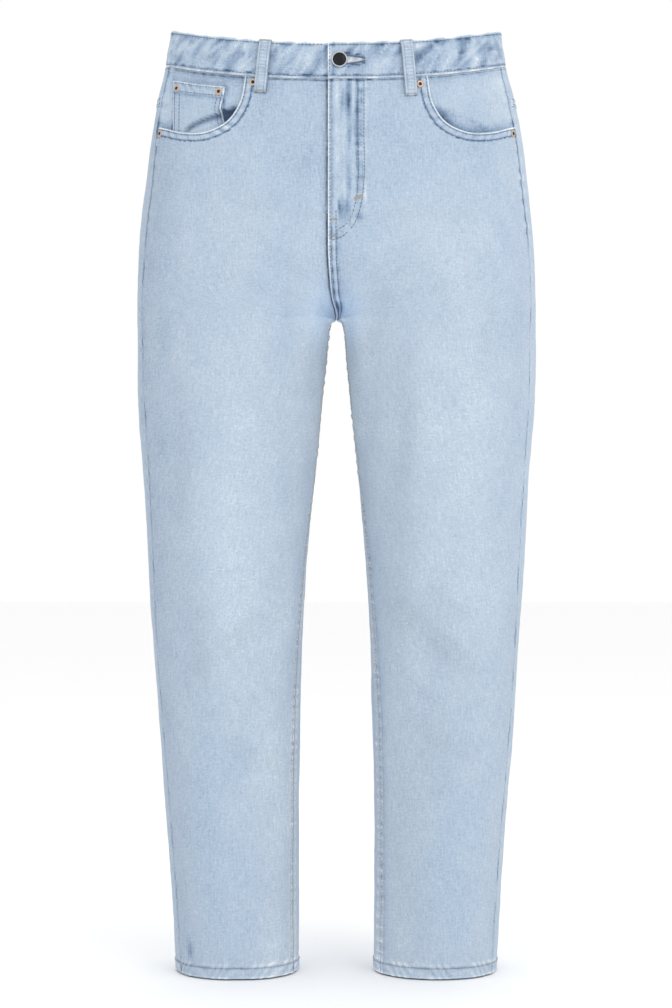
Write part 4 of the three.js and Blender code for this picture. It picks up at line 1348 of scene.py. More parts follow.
@dataclass
class Waistband:
    """The band all round the waist, its left end lapped over the right, crumpled by washing."""

    cloth: Cloth
    # How far the ends run past the middle, and where the under one steps in
    overlap: float = 8.9
    underlap: float = 26.0
    step_near: float = 12.0
    step_far: float = 38.0
    # Spacing of the grid down and round the band, and where the fine part ends
    row_step: float = 1.7
    fine_step: float = 0.8
    step: float = 2.6
    fine_end: float = 36.0
    edge_rows: Floats = (0, 0.25, 0.6, 1.1, 1.8)
    # Buttonhole
    hole_level: float = -19.0
    hole_start: float = -1.2
    hole_round: float = 4.1
    hole_tip: float = 28.6
    hole_depth: float = 2.3
    hole_lip: Mark = Mark(1.3, 1.2, 0.35)
    hole_outline: Mark = Mark(3.2, 1.0, -1.0)
    # Sewn rows as relief and as dark lines, the folded edges, and the step and lapped end
    rows_relief: Marks = (Mark(-3.4, 0.8, -0.2), Mark(-BAND_HEIGHT + 2.6, 0.8, -0.2))
    rows_dark: Marks = (Mark(-4.2, 1.0, -0.85), Mark(-34.6, 1.0, -0.85))
    top_edge: Mark = Mark(0.3, 1.6, 1.3)
    foot_edge: Mark = Mark(0, 1.3, 1.0)
    step_dark: Mark = Mark(10.4, 1.6, -0.9)
    end_lines: Marks = (Mark(-6.6, 1.7, 0.45), Mark(-3.6, 0.9, -0.2))
    edge_round: float = 1.25

    def __post_init__(self) -> None:
        """Draw the band's own creases and the slope that slants them."""
        self.crumple = Ripple(20, 11, 22, (1, 1, 1.1))
        self.crease = Ripple(21, 12, 40, (1.2, 1.2, 0.8))
        self.fine = Ripple(22, 5, 11, (1.5, 1.5, 0.8))
        self.slant = np.array(((1.0, 0, 0), (0, 1.0, 0), (-0.8, 0, 0.4)))

    def grid(self) -> tuple[Array, Array]:
        """Levels and places round the waist (rows, columns)."""
        down = steps_along(BAND_HEIGHT, self.row_step, self.edge_rows, self.edge_rows)
        middle = float(self.cloth.body.length(-BAND_HEIGHT / 2))
        end = 2 * middle + self.underlap
        fine = np.arange(-self.overlap + 2, self.fine_end, self.fine_step)
        rest = np.arange(self.fine_end, end - 2, self.step)
        tips = [-self.overlap + t for t in (0, 0.4, 0.9, 1.5)]
        place = np.unique(np.r_[tips, fine, rest, end - 1.2, end - 0.5, end])
        level = np.broadcast_to(-down[:, None], (len(down), len(place)))
        stretch = self.cloth.body.length(level) / middle
        past = np.maximum(0, place - 2 * middle)[None, :]
        around = np.where(place < 0, place, (place - past) * stretch + past)
        return level, around

    @classmethod
    def hole_half(cls, along: Array) -> Array:
        """Half the buttonhole's height from its round end, 0, to its pointed tip, 1."""
        return cls.hole_round * np.maximum(0, 1 - along) ** 0.7

    def hole_shape(self, level: Array, place: Array) -> Array:
        """Signed distance to the buttonhole's teardrop, below 0 inside, mm."""
        start, end = self.hole_start + self.hole_round, self.hole_tip
        along = np.clip((place - start) / (end - start), 0, 1)
        beyond = np.where(place < start, start - place, np.maximum(0, place - end))
        return np.hypot(np.abs(level - self.hole_level), beyond) - self.hole_half(along)

    def build(self) -> Sheet:
        """The band as one Sheet."""
        cloth = self.cloth
        level, place = self.grid()
        to_end = 2 * cloth.body.length(level) - place
        base = cloth.ring(level, place, 0.0)
        edge = edge_distance(base)
        sink = -(BAND_CLOTH + LAYER_GAP) * smooth(self.step_far, self.step_near, to_end)
        calm = smooth(0, 5, edge)
        slanted = base @ self.slant
        ridge = np.maximum(0, 1 - 1.5 * np.abs(self.crease.at(slanted))) ** 1.3
        crumple = 0.3 * self.crumple.at(base) + 0.45 * (ridge - 0.3) + 0.08 * self.fine.at(base)
        hole = self.hole_shape(level, place)
        on_top = np.where(place < 60, 1.0, 0.0)
        lift = sink + calm * crumple * smooth(0, 6, hole) + marked(self.rows_relief, level)
        lift += on_top * (self.hole_lip.at(hole) - self.hole_depth * smooth(0.5, -0.5, hole))
        corner = round_off(edge, self.edge_round)
        tone = -0.06 + 0.22 * self.crumple.at(slanted) + 0.14 * self.fine.at(slanted)
        tone += 0.7 * calm * (ridge - 0.3)
        upper = level > -BAND_HEIGHT / 2
        tone += np.where(upper, self.top_edge.at(edge), self.foot_edge.at(edge))
        tone += (0.75 + 0.25 * cloth.top_pucker(place)) * marked(self.rows_dark, level)
        outline = self.hole_outline.at(hole) * (place < self.hole_tip)
        tone += on_top * (1.2 * smooth(1.4, 0.2, hole) + outline)
        tone += self.step_dark.at(to_end) + on_top * marked(self.end_lines, place)
        return cloth.ring_wall(level, place, (lift - corner, sink - BAND_CLOTH + corner), tone)


@dataclass
class FrontPatch:
    """The layers under the pocket mouth of one side: the facing and the coin pocket."""

    cloth: Cloth
    side: int
    # Where the facing falls away at the inner bend, as x and level, how far, and how dark its painted
    # shadow is
    hollow_x: float = 109.5
    hollow_level: float = -82.0
    hollow_depth: float = 7.0
    hollow_shadow: float = -2.0
    # The curved crease: its outer end and width as x, its height there, its rise and depth
    crease_x: float = 157.0
    crease_width: float = 37.0
    crease_z: float = -114.0
    crease_rise: float = 16.5
    crease_depth: float = 2.6
    # How much of both the facing without a coin pocket has, as relief and as painted shadow
    plain_sag: float = 0.4
    plain_shadow: float = 0.35
    # Shadow on the facing under the waistband, and its paler tone beside the side seam
    band_shadow: Mark = Mark(5, 4, -0.25)
    seam_glow: Mark = Mark(10, 22, 0.3)
    # Coin pocket: how its inner side draws in, spacing, hem height and the lines of its edges
    drawn_in: Mark = Mark(-76, 15, 4.5)
    step: float = 2.4
    near: Floats = (0, 0.3, 0.7, 1.3, 2.2)
    near_foot: Floats = (0, 0.6, 1.4)
    hem_height: float = 0.45
    hem_waves: Mark = Mark(5.5, 3.5, 0.1)
    edge_lines: Marks = (Mark(0, 1.5, 1.1), Mark(2.6, 0.9, -0.5))
    # Coin pocket hem: painted shadow under its hem ridge, and its pale fold
    hem_wear_and_painted_light: Marks = (Mark(12.4, 1.3, -0.9), Mark(10.4, 1.0, 0.5))

    def hollow(self, level: Array, arc: Array) -> Array:
        """Where the facing falls away at the inner bend of the pocket mouth, from 0 to 1."""
        middle = self.cloth.body.arc_at_x(np.array(self.hollow_level), np.array(self.hollow_x))
        slope = level + 80 + 0.25 * (arc - middle)
        return bump(arc, middle, 12) * smooth(8, 4.5, slope) * smooth(-26, -10, slope)

    def crease(self, level: Array, arc: Array) -> Array:
        """A crease low in the mouth, from 0 to 1: it rises inwards like a square root, soft below."""
        point = self.cloth.body.locate(level, arc)
        along = (self.crease_x - point[..., 0]) / self.crease_width
        line = self.crease_z + self.crease_rise * np.sqrt(np.clip(along, 0, 1.3))
        below = line - point[..., 2]
        ends = smooth(-0.06, 0.12, along) * smooth(1.2, 0.9, along)
        return ends * smooth(-1.2, 1.0, below) * smooth(9, 1.5, below)

    def sag(self, level: Array, arc: Array) -> Array:
        """How far the layers under the mouth sink, most on the side with the coin pocket, mm."""
        share = 1.0 if self.side < 0 else self.plain_sag
        hollow, crease = self.hollow(level, arc), self.crease(level, arc)
        return share * (self.hollow_depth * hollow + self.crease_depth * crease)

    def coin_inner(self, level: Array) -> Array:
        """Inner edge of the coin pocket as x, drawn in a little below its hem."""
        return COIN_INNER + self.drawn_in.at(level)

    def coin_shadow(self, level: Array, arc: Array) -> Array:
        """Painted shadow on the facing round the coin pocket, from 0 to 1."""
        if self.side > 0:
            return np.zeros(np.shape(arc))
        inner = self.cloth.body.arc_at_x(level, self.coin_inner(level))
        outer = self.cloth.body.arc_at_x(level, np.array(COIN_OUTER))
        beside = bump(arc - inner, -1.5, 1.6) + bump(arc - outer, 1.5, 1.6)
        above = bump(level, COIN_TOP + 1.5, 1.6) * (arc > inner - 2) * (arc < outer + 2)
        return np.clip(beside * (level < COIN_TOP + 2) + above, 0, 1)

    def facing(self) -> Sheet:
        """Pocket facing, from the waistband seam to under the scoop."""
        cloth, side = self.cloth, self.side
        down = steps_along(BAND_SEAM - FACING_BOTTOM, GRID, SEAM_STEPS[:5], SEAM_STEPS[:5])
        level = (BAND_SEAM - down)[:, None]
        start = cloth.body.arc_at_x(level[:, 0], FACING_X)
        width = cloth.body.seam(level[:, 0]) - SEAM_GAP / 2 - start
        arc = start[:, None] + width[:, None] * share_across(width, GRID, SEAM_STEPS, SEAM_STEPS)
        level = np.broadcast_to(level, arc.shape)
        # Depth of the lowest layer, and this side's share of the hollow's painted shadow
        low, dark = (UNDER_COIN, 1.0) if side < 0 else (UNDER_FRONT, self.plain_shadow)
        to_seam = cloth.body.seam(level) - arc
        lift = UNDER_FRONT + (low - UNDER_FRONT) * smooth(1, FACING_BLEND, to_seam)
        lift -= (low + 0.25) * smooth(8.5, 2.5, to_seam) + self.sag(level, arc)
        # Painted shade on the facing just beside the rim, low in the mouth
        under_rim_shade = smooth(14, 2, cloth.scoop_distance(level, arc)) * smooth(-62, -92, level)
        tone = cloth.wear_and_painted_light(side, level, arc) + 0.06 - 0.8 * under_rim_shade
        # Painted shadow in the fallen hollow, in the crease and round the coin pocket
        tone += dark * self.hollow_shadow * self.hollow(level, arc)
        tone -= 0.3 * self.crease(level, arc) + self.coin_shadow(level, arc)
        tone += self.band_shadow.at(BAND_SEAM - level) + self.seam_glow.at(to_seam)
        return cloth.wall(side, level, arc, (lift, lift - CLOTH), tone)

    def coin_pocket(self) -> Sheet:
        """Small pocket with a hemmed top, its raw sides turned in."""
        cloth, side = self.cloth, self.side
        down = steps_along(COIN_TOP - COIN_BOTTOM, self.step, self.near, self.near_foot)
        level = (COIN_TOP - down)[:, None]
        start = cloth.body.arc_at_x(level[:, 0], self.coin_inner(level[:, 0]))
        width = cloth.body.arc_at_x(level[:, 0], COIN_OUTER) - start
        arc = start[:, None] + width[:, None] * share_across(width, self.step, self.near, self.near)
        level = np.broadcast_to(level, arc.shape)
        from_top = COIN_TOP - level
        edge = edge_distance(cloth.body.locate(level, arc))
        hemmed = smooth(COIN_HEM + 0.5, COIN_HEM - 0.7, from_top)
        wave = cloth.rim_pucker(1.2 * arc + from_top)
        sag, crease = self.sag(level, arc), self.crease(level, arc)
        lift = hemmed * (self.hem_height + wave * self.hem_waves.at(from_top)) - round_off(edge, 0.8)
        lifts = (UNDER_FRONT + lift + 0.25 - sag, UNDER_FRONT - COIN_CLOTH - sag)
        tone = cloth.wear_and_painted_light(side, level, arc) + marked(self.edge_lines, edge)
        # Painted shadow in the crease and in the fallen hollow
        tone -= 0.95 * crease + 0.8 * self.hollow(level, arc)
        # The hem's pale fold, and the painted shadow under the hem ridge
        tone += 0.12 * hemmed * wave + marked(self.hem_wear_and_painted_light, from_top)
        return cloth.wall(side, level, arc, lifts, tone, shade=-0.24 * crease)


@dataclass
class BackPocket:
    """Patch pocket on one back, drawn to a low point, its edges stitched down to the panel."""

    cloth: Cloth
    side: int
    # Middle from the centre back, widths, top and side ends as levels, point and lean, mm
    middle: float = 98.0
    top_width: float = 144.0
    foot_width: float = 122.0
    top: float = -120.0
    side_end: float = -240.0
    point: float = 19.0
    lean: float = 7.0
    # Spacing, the puffed middle, the hem and the pale edge
    step: float = 3.0
    near: Floats = (0.0, 0.35, 0.8, 1.4, 2.2, 3.4, 5.0)
    puff: float = 0.8
    hem_height: float = 0.4
    sewn_groove: Mark = Mark(1.9, 0.8, 0.2)
    pale_edge: Mark = Mark(0, 1.5, 0.4)
    edge_waves: Mark = Mark(4.5, 4, 0.22)
    hem_line: Mark = Mark(14.6, 1.4, -0.2)

    def at(self, down: Array, across: Array) -> tuple[Array, Array]:
        """Level and arc of a place: down from 0 to 1, across from -0.5 to 0.5."""
        foot = self.side_end - self.point * (1 - np.abs(2 * across))
        level = self.top + (foot - self.top) * down
        width = self.top_width + (self.foot_width - self.top_width) * down
        from_centre = self.middle + self.lean * down - across * width
        return level, self.cloth.body.length(level) - from_centre

    def build(self) -> Sheet:
        """The pocket as one Sheet."""
        cloth, side = self.cloth, self.side
        height, width = self.top - self.side_end, self.top_width
        down = steps_along(height, self.step, self.near, self.near)[:, None] / height
        across = steps_along(width, self.step, self.near, self.near)[None, :] / width - 0.5
        level, arc = self.at(down, across)
        edge = edge_distance(cloth.body.locate(level, arc))
        from_top = down * height + 0 * arc
        hemmed = smooth(14.5, 13.2, from_top)
        wave = cloth.yoke_pucker(arc + 3 * from_top + 77 * side)
        puff = self.puff * smooth(6, 40, edge)
        lift = POCKET_GAP + PATCH_CLOTH + puff + hemmed * (self.hem_height + 0.2 * wave)
        lift -= round_off(edge, 1.1) + self.sewn_groove.at(edge)
        tone = cloth.wear_and_painted_light(side, level, arc) + self.pale_edge.at(edge)
        tone += wave * self.edge_waves.at(edge) + self.hem_line.at(from_top)
        return cloth.wall(side, level, arc, (lift, POCKET_GAP + 0.4 * puff), tone)


@dataclass
class BeltLoop:
    """Belt loop: a folded strip bowed off the waistband, stitched down at both ends."""

    cloth: Cloth
    spot: LoopPlace
    # Spacing down and across, its rounded ridge, the rungs and lines of its worn face, and painted shadow
    # at its edges
    row_step: float = 1.5
    step: float = 0.8
    near: Floats = (0.0, 0.3, 0.7, 1.2)
    ridge: float = 0.35
    # A pale line just inside the edge, and painted shadow along the edge itself
    edge_lines: Marks = (Mark(1.6, 0.9, 0.6), Mark(0, 0.8, -0.9))
    rung_pitch: float = 3.7
    rungs: Mark = Mark(0, 3, 0.5)
    sewn_line: Mark = Mark(3.9, 0.9, -0.6)

    def at(self, down: Array, across: Array) -> tuple[Array, Array, Array]:
        """Level, place round the waist and lift of the loop's under side."""
        level = self.spot.bottom * down
        start = self.cloth.body.length(level) if self.spot.back else 0.0
        place = start + self.spot.top + (self.spot.foot - self.spot.top) * down + across
        bow = LOOP_BOW * (1 - (2 * down - 1) ** 4)
        return level + 0 * across, place, LAYER_GAP + bow + 0 * across

    def build(self) -> Sheet:
        """The loop as one Sheet."""
        height = -self.spot.bottom
        down = steps_along(height, self.row_step, self.near, self.near)[:, None] / height
        across = steps_along(LOOP_WIDTH, self.step, self.near, self.near)[None, :] - LOOP_WIDTH / 2
        level, place, under = self.at(down, across)
        edge = edge_distance(self.cloth.ring(level, place, 0.0))
        wave = self.cloth.hem_twist(3 * level + 400 * self.spot.top)
        ridge = self.ridge * np.cos(np.pi * across / LOOP_WIDTH) * (1 + 0.4 * wave)
        lift = under + LOOP_CLOTH + ridge - round_off(edge, 0.9)
        tone = 0.1 + marked(self.edge_lines, edge) + 0.12 * wave
        tone += np.sin(2 * np.pi * level / self.rung_pitch) * self.rungs.at(across)
        tone += self.sewn_line.at(np.abs(across))
        return self.cloth.ring_wall(level, place, (lift, under), tone)


def lathe(profile: tuple, sides: int) -> tuple[Array, Array]:
    """Turned surface about +Z, its foot at z = 0, closed at the axis at both ends.

    Args:
        profile: radius and height pairs, the first and last of them on the axis.
        sides: number of sides.

    Returns:
        Points in mm and triangles.
    """
    radius, height = np.array(profile, float)[1:-1].T
    turn = np.arange(sides) / sides * 2 * np.pi
    ring = np.stack([np.outer(radius, np.cos(turn)), np.outer(radius, np.sin(turn))], axis=-1)
    levels = np.broadcast_to(height[:, None, None], (*ring.shape[:2], 1))
    points = np.concatenate([ring, levels], axis=-1).reshape(-1, 3)
    ends = np.array([[0, 0, profile[0][1]], [0, 0, profile[-1][1]]], float)
    foot, cap = len(points), len(points) + 1
    index = np.arange(len(points)).reshape(len(radius), sides)
    beside = np.roll(index, -1, axis=1)
    a, b, c, d = index[:-1], beside[:-1], beside[1:], index[1:]
    parts = [np.stack([a, b, c], -1).reshape(-1, 3), np.stack([a, c, d], -1).reshape(-1, 3)]
    parts.append(np.stack([beside[0], index[0], np.full(sides, foot)], -1))
    parts.append(np.stack([index[-1], beside[-1], np.full(sides, cap)], -1))
    return np.concatenate([points, ends]), np.concatenate(parts)


def stand_on(points: Array, foot: Array, out: Array) -> Array:
    """Turn points about +Z to stand on a foot with their axis along out."""
    side = unit(np.cross([0, 0, 1.0], out))
    up = np.cross(out, side)
    return foot + points @ np.stack([side, up, out])


class Finish(Enum):
    """Finishes of the jeans, by the name of the material."""

    DENIM = "denim"
    THREAD = "thread"
    PALE_THREAD = "pale_thread"
    HEM_THREAD = "hem_thread"
    RING = "button_ring"
    BUTTON = "button_cap"
    COPPER = "copper"
    RIVET_MIDDLE = "rivet_middle"


@dataclass
class Fastenings:
    """Waist button and rivets: small turned parts standing on the cloth.

    Each profile is a row of radius and height pairs, from the foot to the top, in mm.
    """

    cloth: Cloth
    finishes: dict
    rim: tuple = (
        (0, 0), (2.8, 0), (2.8, 2.9), (7.5, 2.9), (8.0, 3.3), (8.1, 4.1),
        (7.9, 4.9), (7.5, 5.2), (7.0, 5.1), (6.8, 4.8), (0, 4.8),
    )
    cap: tuple = ((0, 4.6), (6.7, 4.6), (6.7, 5.3), (5.9, 6.1), (3.7, 6.5), (0, 6.6))
    disc: tuple = (
        (0, 0), (3.8, 0), (3.85, 0.35), (3.5, 0.75),
        (2.7, 1.0), (1.9, 0.85), (1.7, 0.8), (0, 0.8),
    )
    nipple: tuple = ((0, 0.7), (1.75, 0.75), (1.7, 1.1), (1.1, 1.35), (0, 1.4))
    ring_sides: int = 40
    cap_sides: int = 16
    disc_sides: int = 32
    nipple_sides: int = 24

    def turned(
        self, name: str, sides: int, profile: tuple, finish: Finish, place: tuple
    ) -> bpy.types.Object:
        """One turned part as an object.

        Args:
            name: name of the object.
            sides: number of sides.
            profile: radius and height pairs.
            finish: its finish.
            place: its foot on the cloth and the direction of its axis.

        Returns:
            The new object.
        """
        points, faces = lathe(profile, sides)
        return make_object(name, stand_on(points, *place), faces, self.finishes[finish])

    def button(self) -> list[bpy.types.Object]:
        """Ring and faceted cap of the waist button."""
        level, arc = np.array(BUTTON_LEVEL), np.array(BUTTON_X)
        place = (self.cloth.place(1, level, arc, -BAND_CLOTH), self.cloth.normal(1, level, arc))
        ring = self.turned("button_ring", self.ring_sides, self.rim, Finish.RING, place)
        cap = self.turned("button_cap", self.cap_sides, self.cap, Finish.BUTTON, place)
        cap.data.polygons.foreach_set("use_smooth", np.zeros(len(cap.data.polygons), bool))
        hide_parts("button")
        return [ring, cap]

    def rivet(self, spot: RivetPlace) -> list[bpy.types.Object]:
        """Disc and dark raised middle of one rivet."""
        level = np.array(spot.level)
        arc = self.cloth.body.arc_at_x(level, np.array(spot.x))
        foot = self.cloth.place(spot.side, level, arc, spot.lift + LAYER_GAP)
        place = (foot, self.cloth.normal(spot.side, level, arc))
        disc = self.turned(f"{spot.name}_disc", self.disc_sides, self.disc, Finish.COPPER, place)
        name = f"{spot.name}_middle"
        middle = self.turned(name, self.nipple_sides, self.nipple, Finish.RIVET_MIDDLE, place)
        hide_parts(spot.name)
        return [disc, middle]

    def build(self) -> None:
        """Make the button and the rivets and name what carries them."""
        for piece in self.button():
            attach(piece, "root")
        for spot in RIVETS:
            for piece in self.rivet(spot):
                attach(piece, "root")
        LOG.info("button and %d rivets", len(RIVETS))


@dataclass(frozen=True)
class Paint:
    """Plain finish: sRGB colour, roughness and metal share."""

    finish: Finish
    colour: str
    roughness: float
    metal: float


# Cotton-wrapped polyester thread, matt and a little darker than the cloth; nickel-plated ring
# and black enamelled cap of the button; dull copper-plated rivets with a dark pressed middle
PAINTS = (
    Paint(Finish.THREAD, "5f7087", 0.75, 0.0),
    Paint(Finish.PALE_THREAD, "aaa59e", 0.8, 0.0),
    Paint(Finish.HEM_THREAD, "8f8278", 0.75, 0.0),
    Paint(Finish.RING, "c4c8cd", 0.34, 0.6),
    Paint(Finish.BUTTON, "1b1c1f", 0.3, 0.6),
    Paint(Finish.COPPER, "c4ab97", 0.42, 0.7),
    Paint(Finish.RIVET_MIDDLE, "2b2523", 0.55, 0.5),
)

# Unevenness of the plain finishes: grain about 1 mm across, drawn coarse enough to show
PLAIN_GRAIN = 900.0
PLAIN_DETAIL = 2.0
PLAIN_STRENGTH = 0.35
PLAIN_DEPTH = 0.0001


@dataclass(frozen=True)
class Stop:
    """One stop of the dye's ramp: its position and sRGB colour."""

    position: float
    colour: str


@dataclass(frozen=True)
class Weave:
    """One noise of the denim, and how far it shifts the dye and the light.

    Its stretch is the scale along the weft and the warp of the flat cloth, or None where it
    is read in space.
    """

    stretch: Triple | None
    scale: float
    detail: float
    dye: float
    light: float


@dataclass(frozen=True)
class Denim:
    """Stone-washed cotton twill: matt, with pale wefts showing between blue warps."""

    ramp: tuple[Stop, ...] = (
        Stop(0.0, "405371"),
        Stop(0.14, "6a7f99"),
        Stop(0.3, "899db4"),
        Stop(0.5, "a4b5c8"),
        Stop(0.7, "b3c1cf"),
        Stop(0.86, "c9d3dc"),
        Stop(1.0, "e6e9ec"),
    )
    wrong_side: str = "b4b9c0"
    wrong_side_share: float = 0.85
    tone_range: float = 1.25
    # Washing blotches, warp slubs about 1.4 by 14 mm, weft slubs, and fibre grain about 2 mm
    blotch: Weave = Weave(None, 42.0, 4.0, 0.07, 0.03)
    slub: Weave = Weave((700.0, 70.0, 1.0), 1.0, 3.0, 0.22, 0.2)
    weft: Weave = Weave((110.0, 700.0, 1.0), 1.0, 3.0, 0.18, 0.16)
    grain: Weave = Weave(None, 520.0, 3.0, 0.22, 0.34)
    # Twill lines, drawn at 1.3 mm, coarser than real ones, so that they show
    twill_pitch: float = 1.3
    twill_turns: float = 0.314
    twill_waver: float = 1.2
    twill_dye: float = 0.02
    twill_light: float = 0.03
    twill_height: float = 0.35
    relief_strength: float = 0.5
    relief_depth: float = 0.0003
    roughness: float = 0.9
    specular: float = 0.2
    sheen: float = 0.12
    sheen_roughness: float = 0.6

    def build(self) -> bpy.types.Material:
        """The material: colour from worn dye, painted light, blotches and slubs; its face is finely
        ribbed.
        """
        material = new_material(Finish.DENIM)
        tree = material.node_tree
        place = add_node(tree, "ShaderNodeTexCoord").outputs["Object"]
        flat = add_node(tree, "ShaderNodeUVMap", {"uv_map": "cloth"}).outputs["UV"]
        wear_and_painted_light, shade, inside = (
            add_node(tree, "ShaderNodeAttribute", {"attribute_name": name}).outputs["Fac"]
            for name in ("wear_and_painted_light", "shade", "inside")
        )
        patterns = []
        for weave in (self.blotch, self.slub, self.weft, self.grain):
            at = place
            if weave.stretch:
                spread = {"Vector": flat, "Scale": weave.stretch}
                at = add_node(tree, "ShaderNodeMapping", {"vector_type": "POINT"}, spread).outputs[0]
            noise = {"Vector": at, "Scale": weave.scale, "Detail": weave.detail}
            fac = add_node(tree, "ShaderNodeTexNoise", None, noise).outputs["Fac"]
            patterns.append((fac, weave.dye, weave.light))
        scale = self.twill_turns / (self.twill_pitch * MM)
        lines = {"Vector": flat, "Scale": scale, "Distortion": self.twill_waver, "Detail": 1.0}
        slant = {"wave_type": "BANDS", "bands_direction": "DIAGONAL"}
        twill = add_node(tree, "ShaderNodeTexWave", slant, lines).outputs["Fac"]
        patterns.append((twill, self.twill_dye, self.twill_light))
        middle = 0.5 - sum(dye for _, dye, _ in patterns) / 2
        full = 1.0 - sum(glow for _, _, glow in patterns) / 2
        toned = {0: wear_and_painted_light, 1: 0.5 / self.tone_range, 2: middle}
        tone = add_node(tree, MATH, PRODUCT_PLUS, toned).outputs[0]
        light = add_node(tree, MATH, PRODUCT_PLUS, {0: shade, 1: 1.0, 2: full}).outputs[0]
        for fac, dye, glow in patterns:
            tone = add_node(tree, MATH, PRODUCT_PLUS, {0: fac, 1: dye, 2: tone}).outputs[0]
            light = add_node(tree, MATH, PRODUCT_PLUS, {0: fac, 1: glow, 2: light}).outputs[0]
        turned = {0: inside, 1: self.wrong_side_share, 2: 0.0}
        mixed = {
            "Factor": add_node(tree, MATH, PRODUCT_PLUS, turned).outputs[0],
            "A": self._ramp(tree, tone),
            "B": linear(self.wrong_side),
        }
        colour = add_node(tree, "ShaderNodeMix", {"data_type": "RGBA"}, mixed).outputs[2]
        lit = {"Value": light, "Color": colour}
        shaded = add_node(tree, "ShaderNodeHueSaturation", None, lit).outputs["Color"]
        slubs, grains = patterns[1][0], patterns[3][0]
        rough = add_node(tree, MATH, PRODUCT_PLUS, {0: slubs, 1: 1.0, 2: grains}).outputs[0]
        ribs = {0: twill, 1: self.twill_height, 2: rough}
        height = add_node(tree, MATH, PRODUCT_PLUS, ribs).outputs[0]
        relief = {"Strength": self.relief_strength, "Distance": self.relief_depth, "Height": height}
        close_material(
            tree,
            {
                "Base Color": shaded,
                "Roughness": self.roughness,
                "Specular IOR Level": self.specular,
                "Sheen Weight": self.sheen,
                "Sheen Roughness": self.sheen_roughness,
                "Normal": add_node(tree, "ShaderNodeBump", None, relief).outputs["Normal"],
            },
        )
        return material

    def _ramp(self, tree: bpy.types.NodeTree, tone: bpy.types.NodeSocket) -> bpy.types.NodeSocket:
        """Colour of the dye for a tone from 0, dark, to 1, pale."""
        ramp = add_node(tree, "ShaderNodeValToRGB", None, {"Fac": tone})
        stops = ramp.color_ramp.elements
        while len(stops) < len(self.ramp):
            stops.new(0.5)
        for stop, row in zip(stops, self.ramp):
            stop.position = row.position
            stop.color = linear(row.colour)
        return ramp.outputs["Color"]


# The one kind of math step here: a product of two values plus a third
MATH = "ShaderNodeMath"
PRODUCT_PLUS = {"operation": "MULTIPLY_ADD"}


def linear(colour: str) -> tuple[float, float, float, float]:
    """Linear RGBA of an sRGB hex colour."""
    parts = [int(colour[i : i + 2], 16) / 255 for i in (0, 2, 4)]
    bent = [c / 12.92 if c <= 0.04045 else ((c + 0.055) / 1.055) ** 2.4 for c in parts]
    return (*bent, 1.0)


def add_node(
    tree: bpy.types.NodeTree,
    kind: str,
    settings: dict | None = None,
    inputs: dict | None = None,
) -> bpy.types.ShaderNode:
    """Add one shader node.

    Args:
        tree: the material's nodes.
        kind: the node's type.
        settings: properties by name.
        inputs: values or linked sockets by the input's name or number.

    Returns:
        The new node.
    """
    node = tree.nodes.new(kind)
    for key, value in (settings or {}).items():
        setattr(node, key, value)
    for key, value in (inputs or {}).items():
        if isinstance(value, bpy.types.NodeSocket):
            tree.links.new(value, node.inputs[key])
        else:
            node.inputs[key].default_value = value
    return node


def new_material(finish: Finish) -> bpy.types.Material:
    """Empty node material of one finish."""
    material = bpy.data.materials.new(finish.value)
    material.use_nodes = True
    material.node_tree.nodes.clear()
    return material


def close_material(tree: bpy.types.NodeTree, inputs: dict) -> None:
    """Principled surface with the given inputs, as the material's output."""
    surface = add_node(tree, "ShaderNodeBsdfPrincipled", None, inputs)
    add_node(tree, "ShaderNodeOutputMaterial", None, {"Surface": surface.outputs["BSDF"]})


def plain_material(paint: Paint) -> bpy.types.Material:
    """Sewn, enamelled or plated surface with a little unevenness.

    Args:
        paint: its finish and values.

    Returns:
        The new material.
    """
    material = new_material(paint.finish)
    tree = material.node_tree
    place = add_node(tree, "ShaderNodeTexCoord").outputs["Object"]
    grain = {"Vector": place, "Scale": PLAIN_GRAIN, "Detail": PLAIN_DETAIL}
    noise = add_node(tree, "ShaderNodeTexNoise", None, grain).outputs["Fac"]
    relief = {"Strength": PLAIN_STRENGTH, "Distance": PLAIN_DEPTH, "Height": noise}
    close_material(
        tree,
        {
            "Base Color": linear(paint.colour),
            "Roughness": paint.roughness,
            "Metallic": paint.metal,
            "Normal": add_node(tree, "ShaderNodeBump", None, relief).outputs["Normal"],
        },
    )
    return material


def make_finishes() -> dict:
    """Every material by its finish."""
    finishes = {paint.finish: plain_material(paint) for paint in PAINTS}
    finishes[Finish.DENIM] = Denim().build()
    return finishes


@dataclass(frozen=True)
class Lamp:
    """Square soft light: its name, place and side in metres, turn in degrees, and watts."""

    name: str
    place: Triple
    turn: Triple
    size: float
    power: float


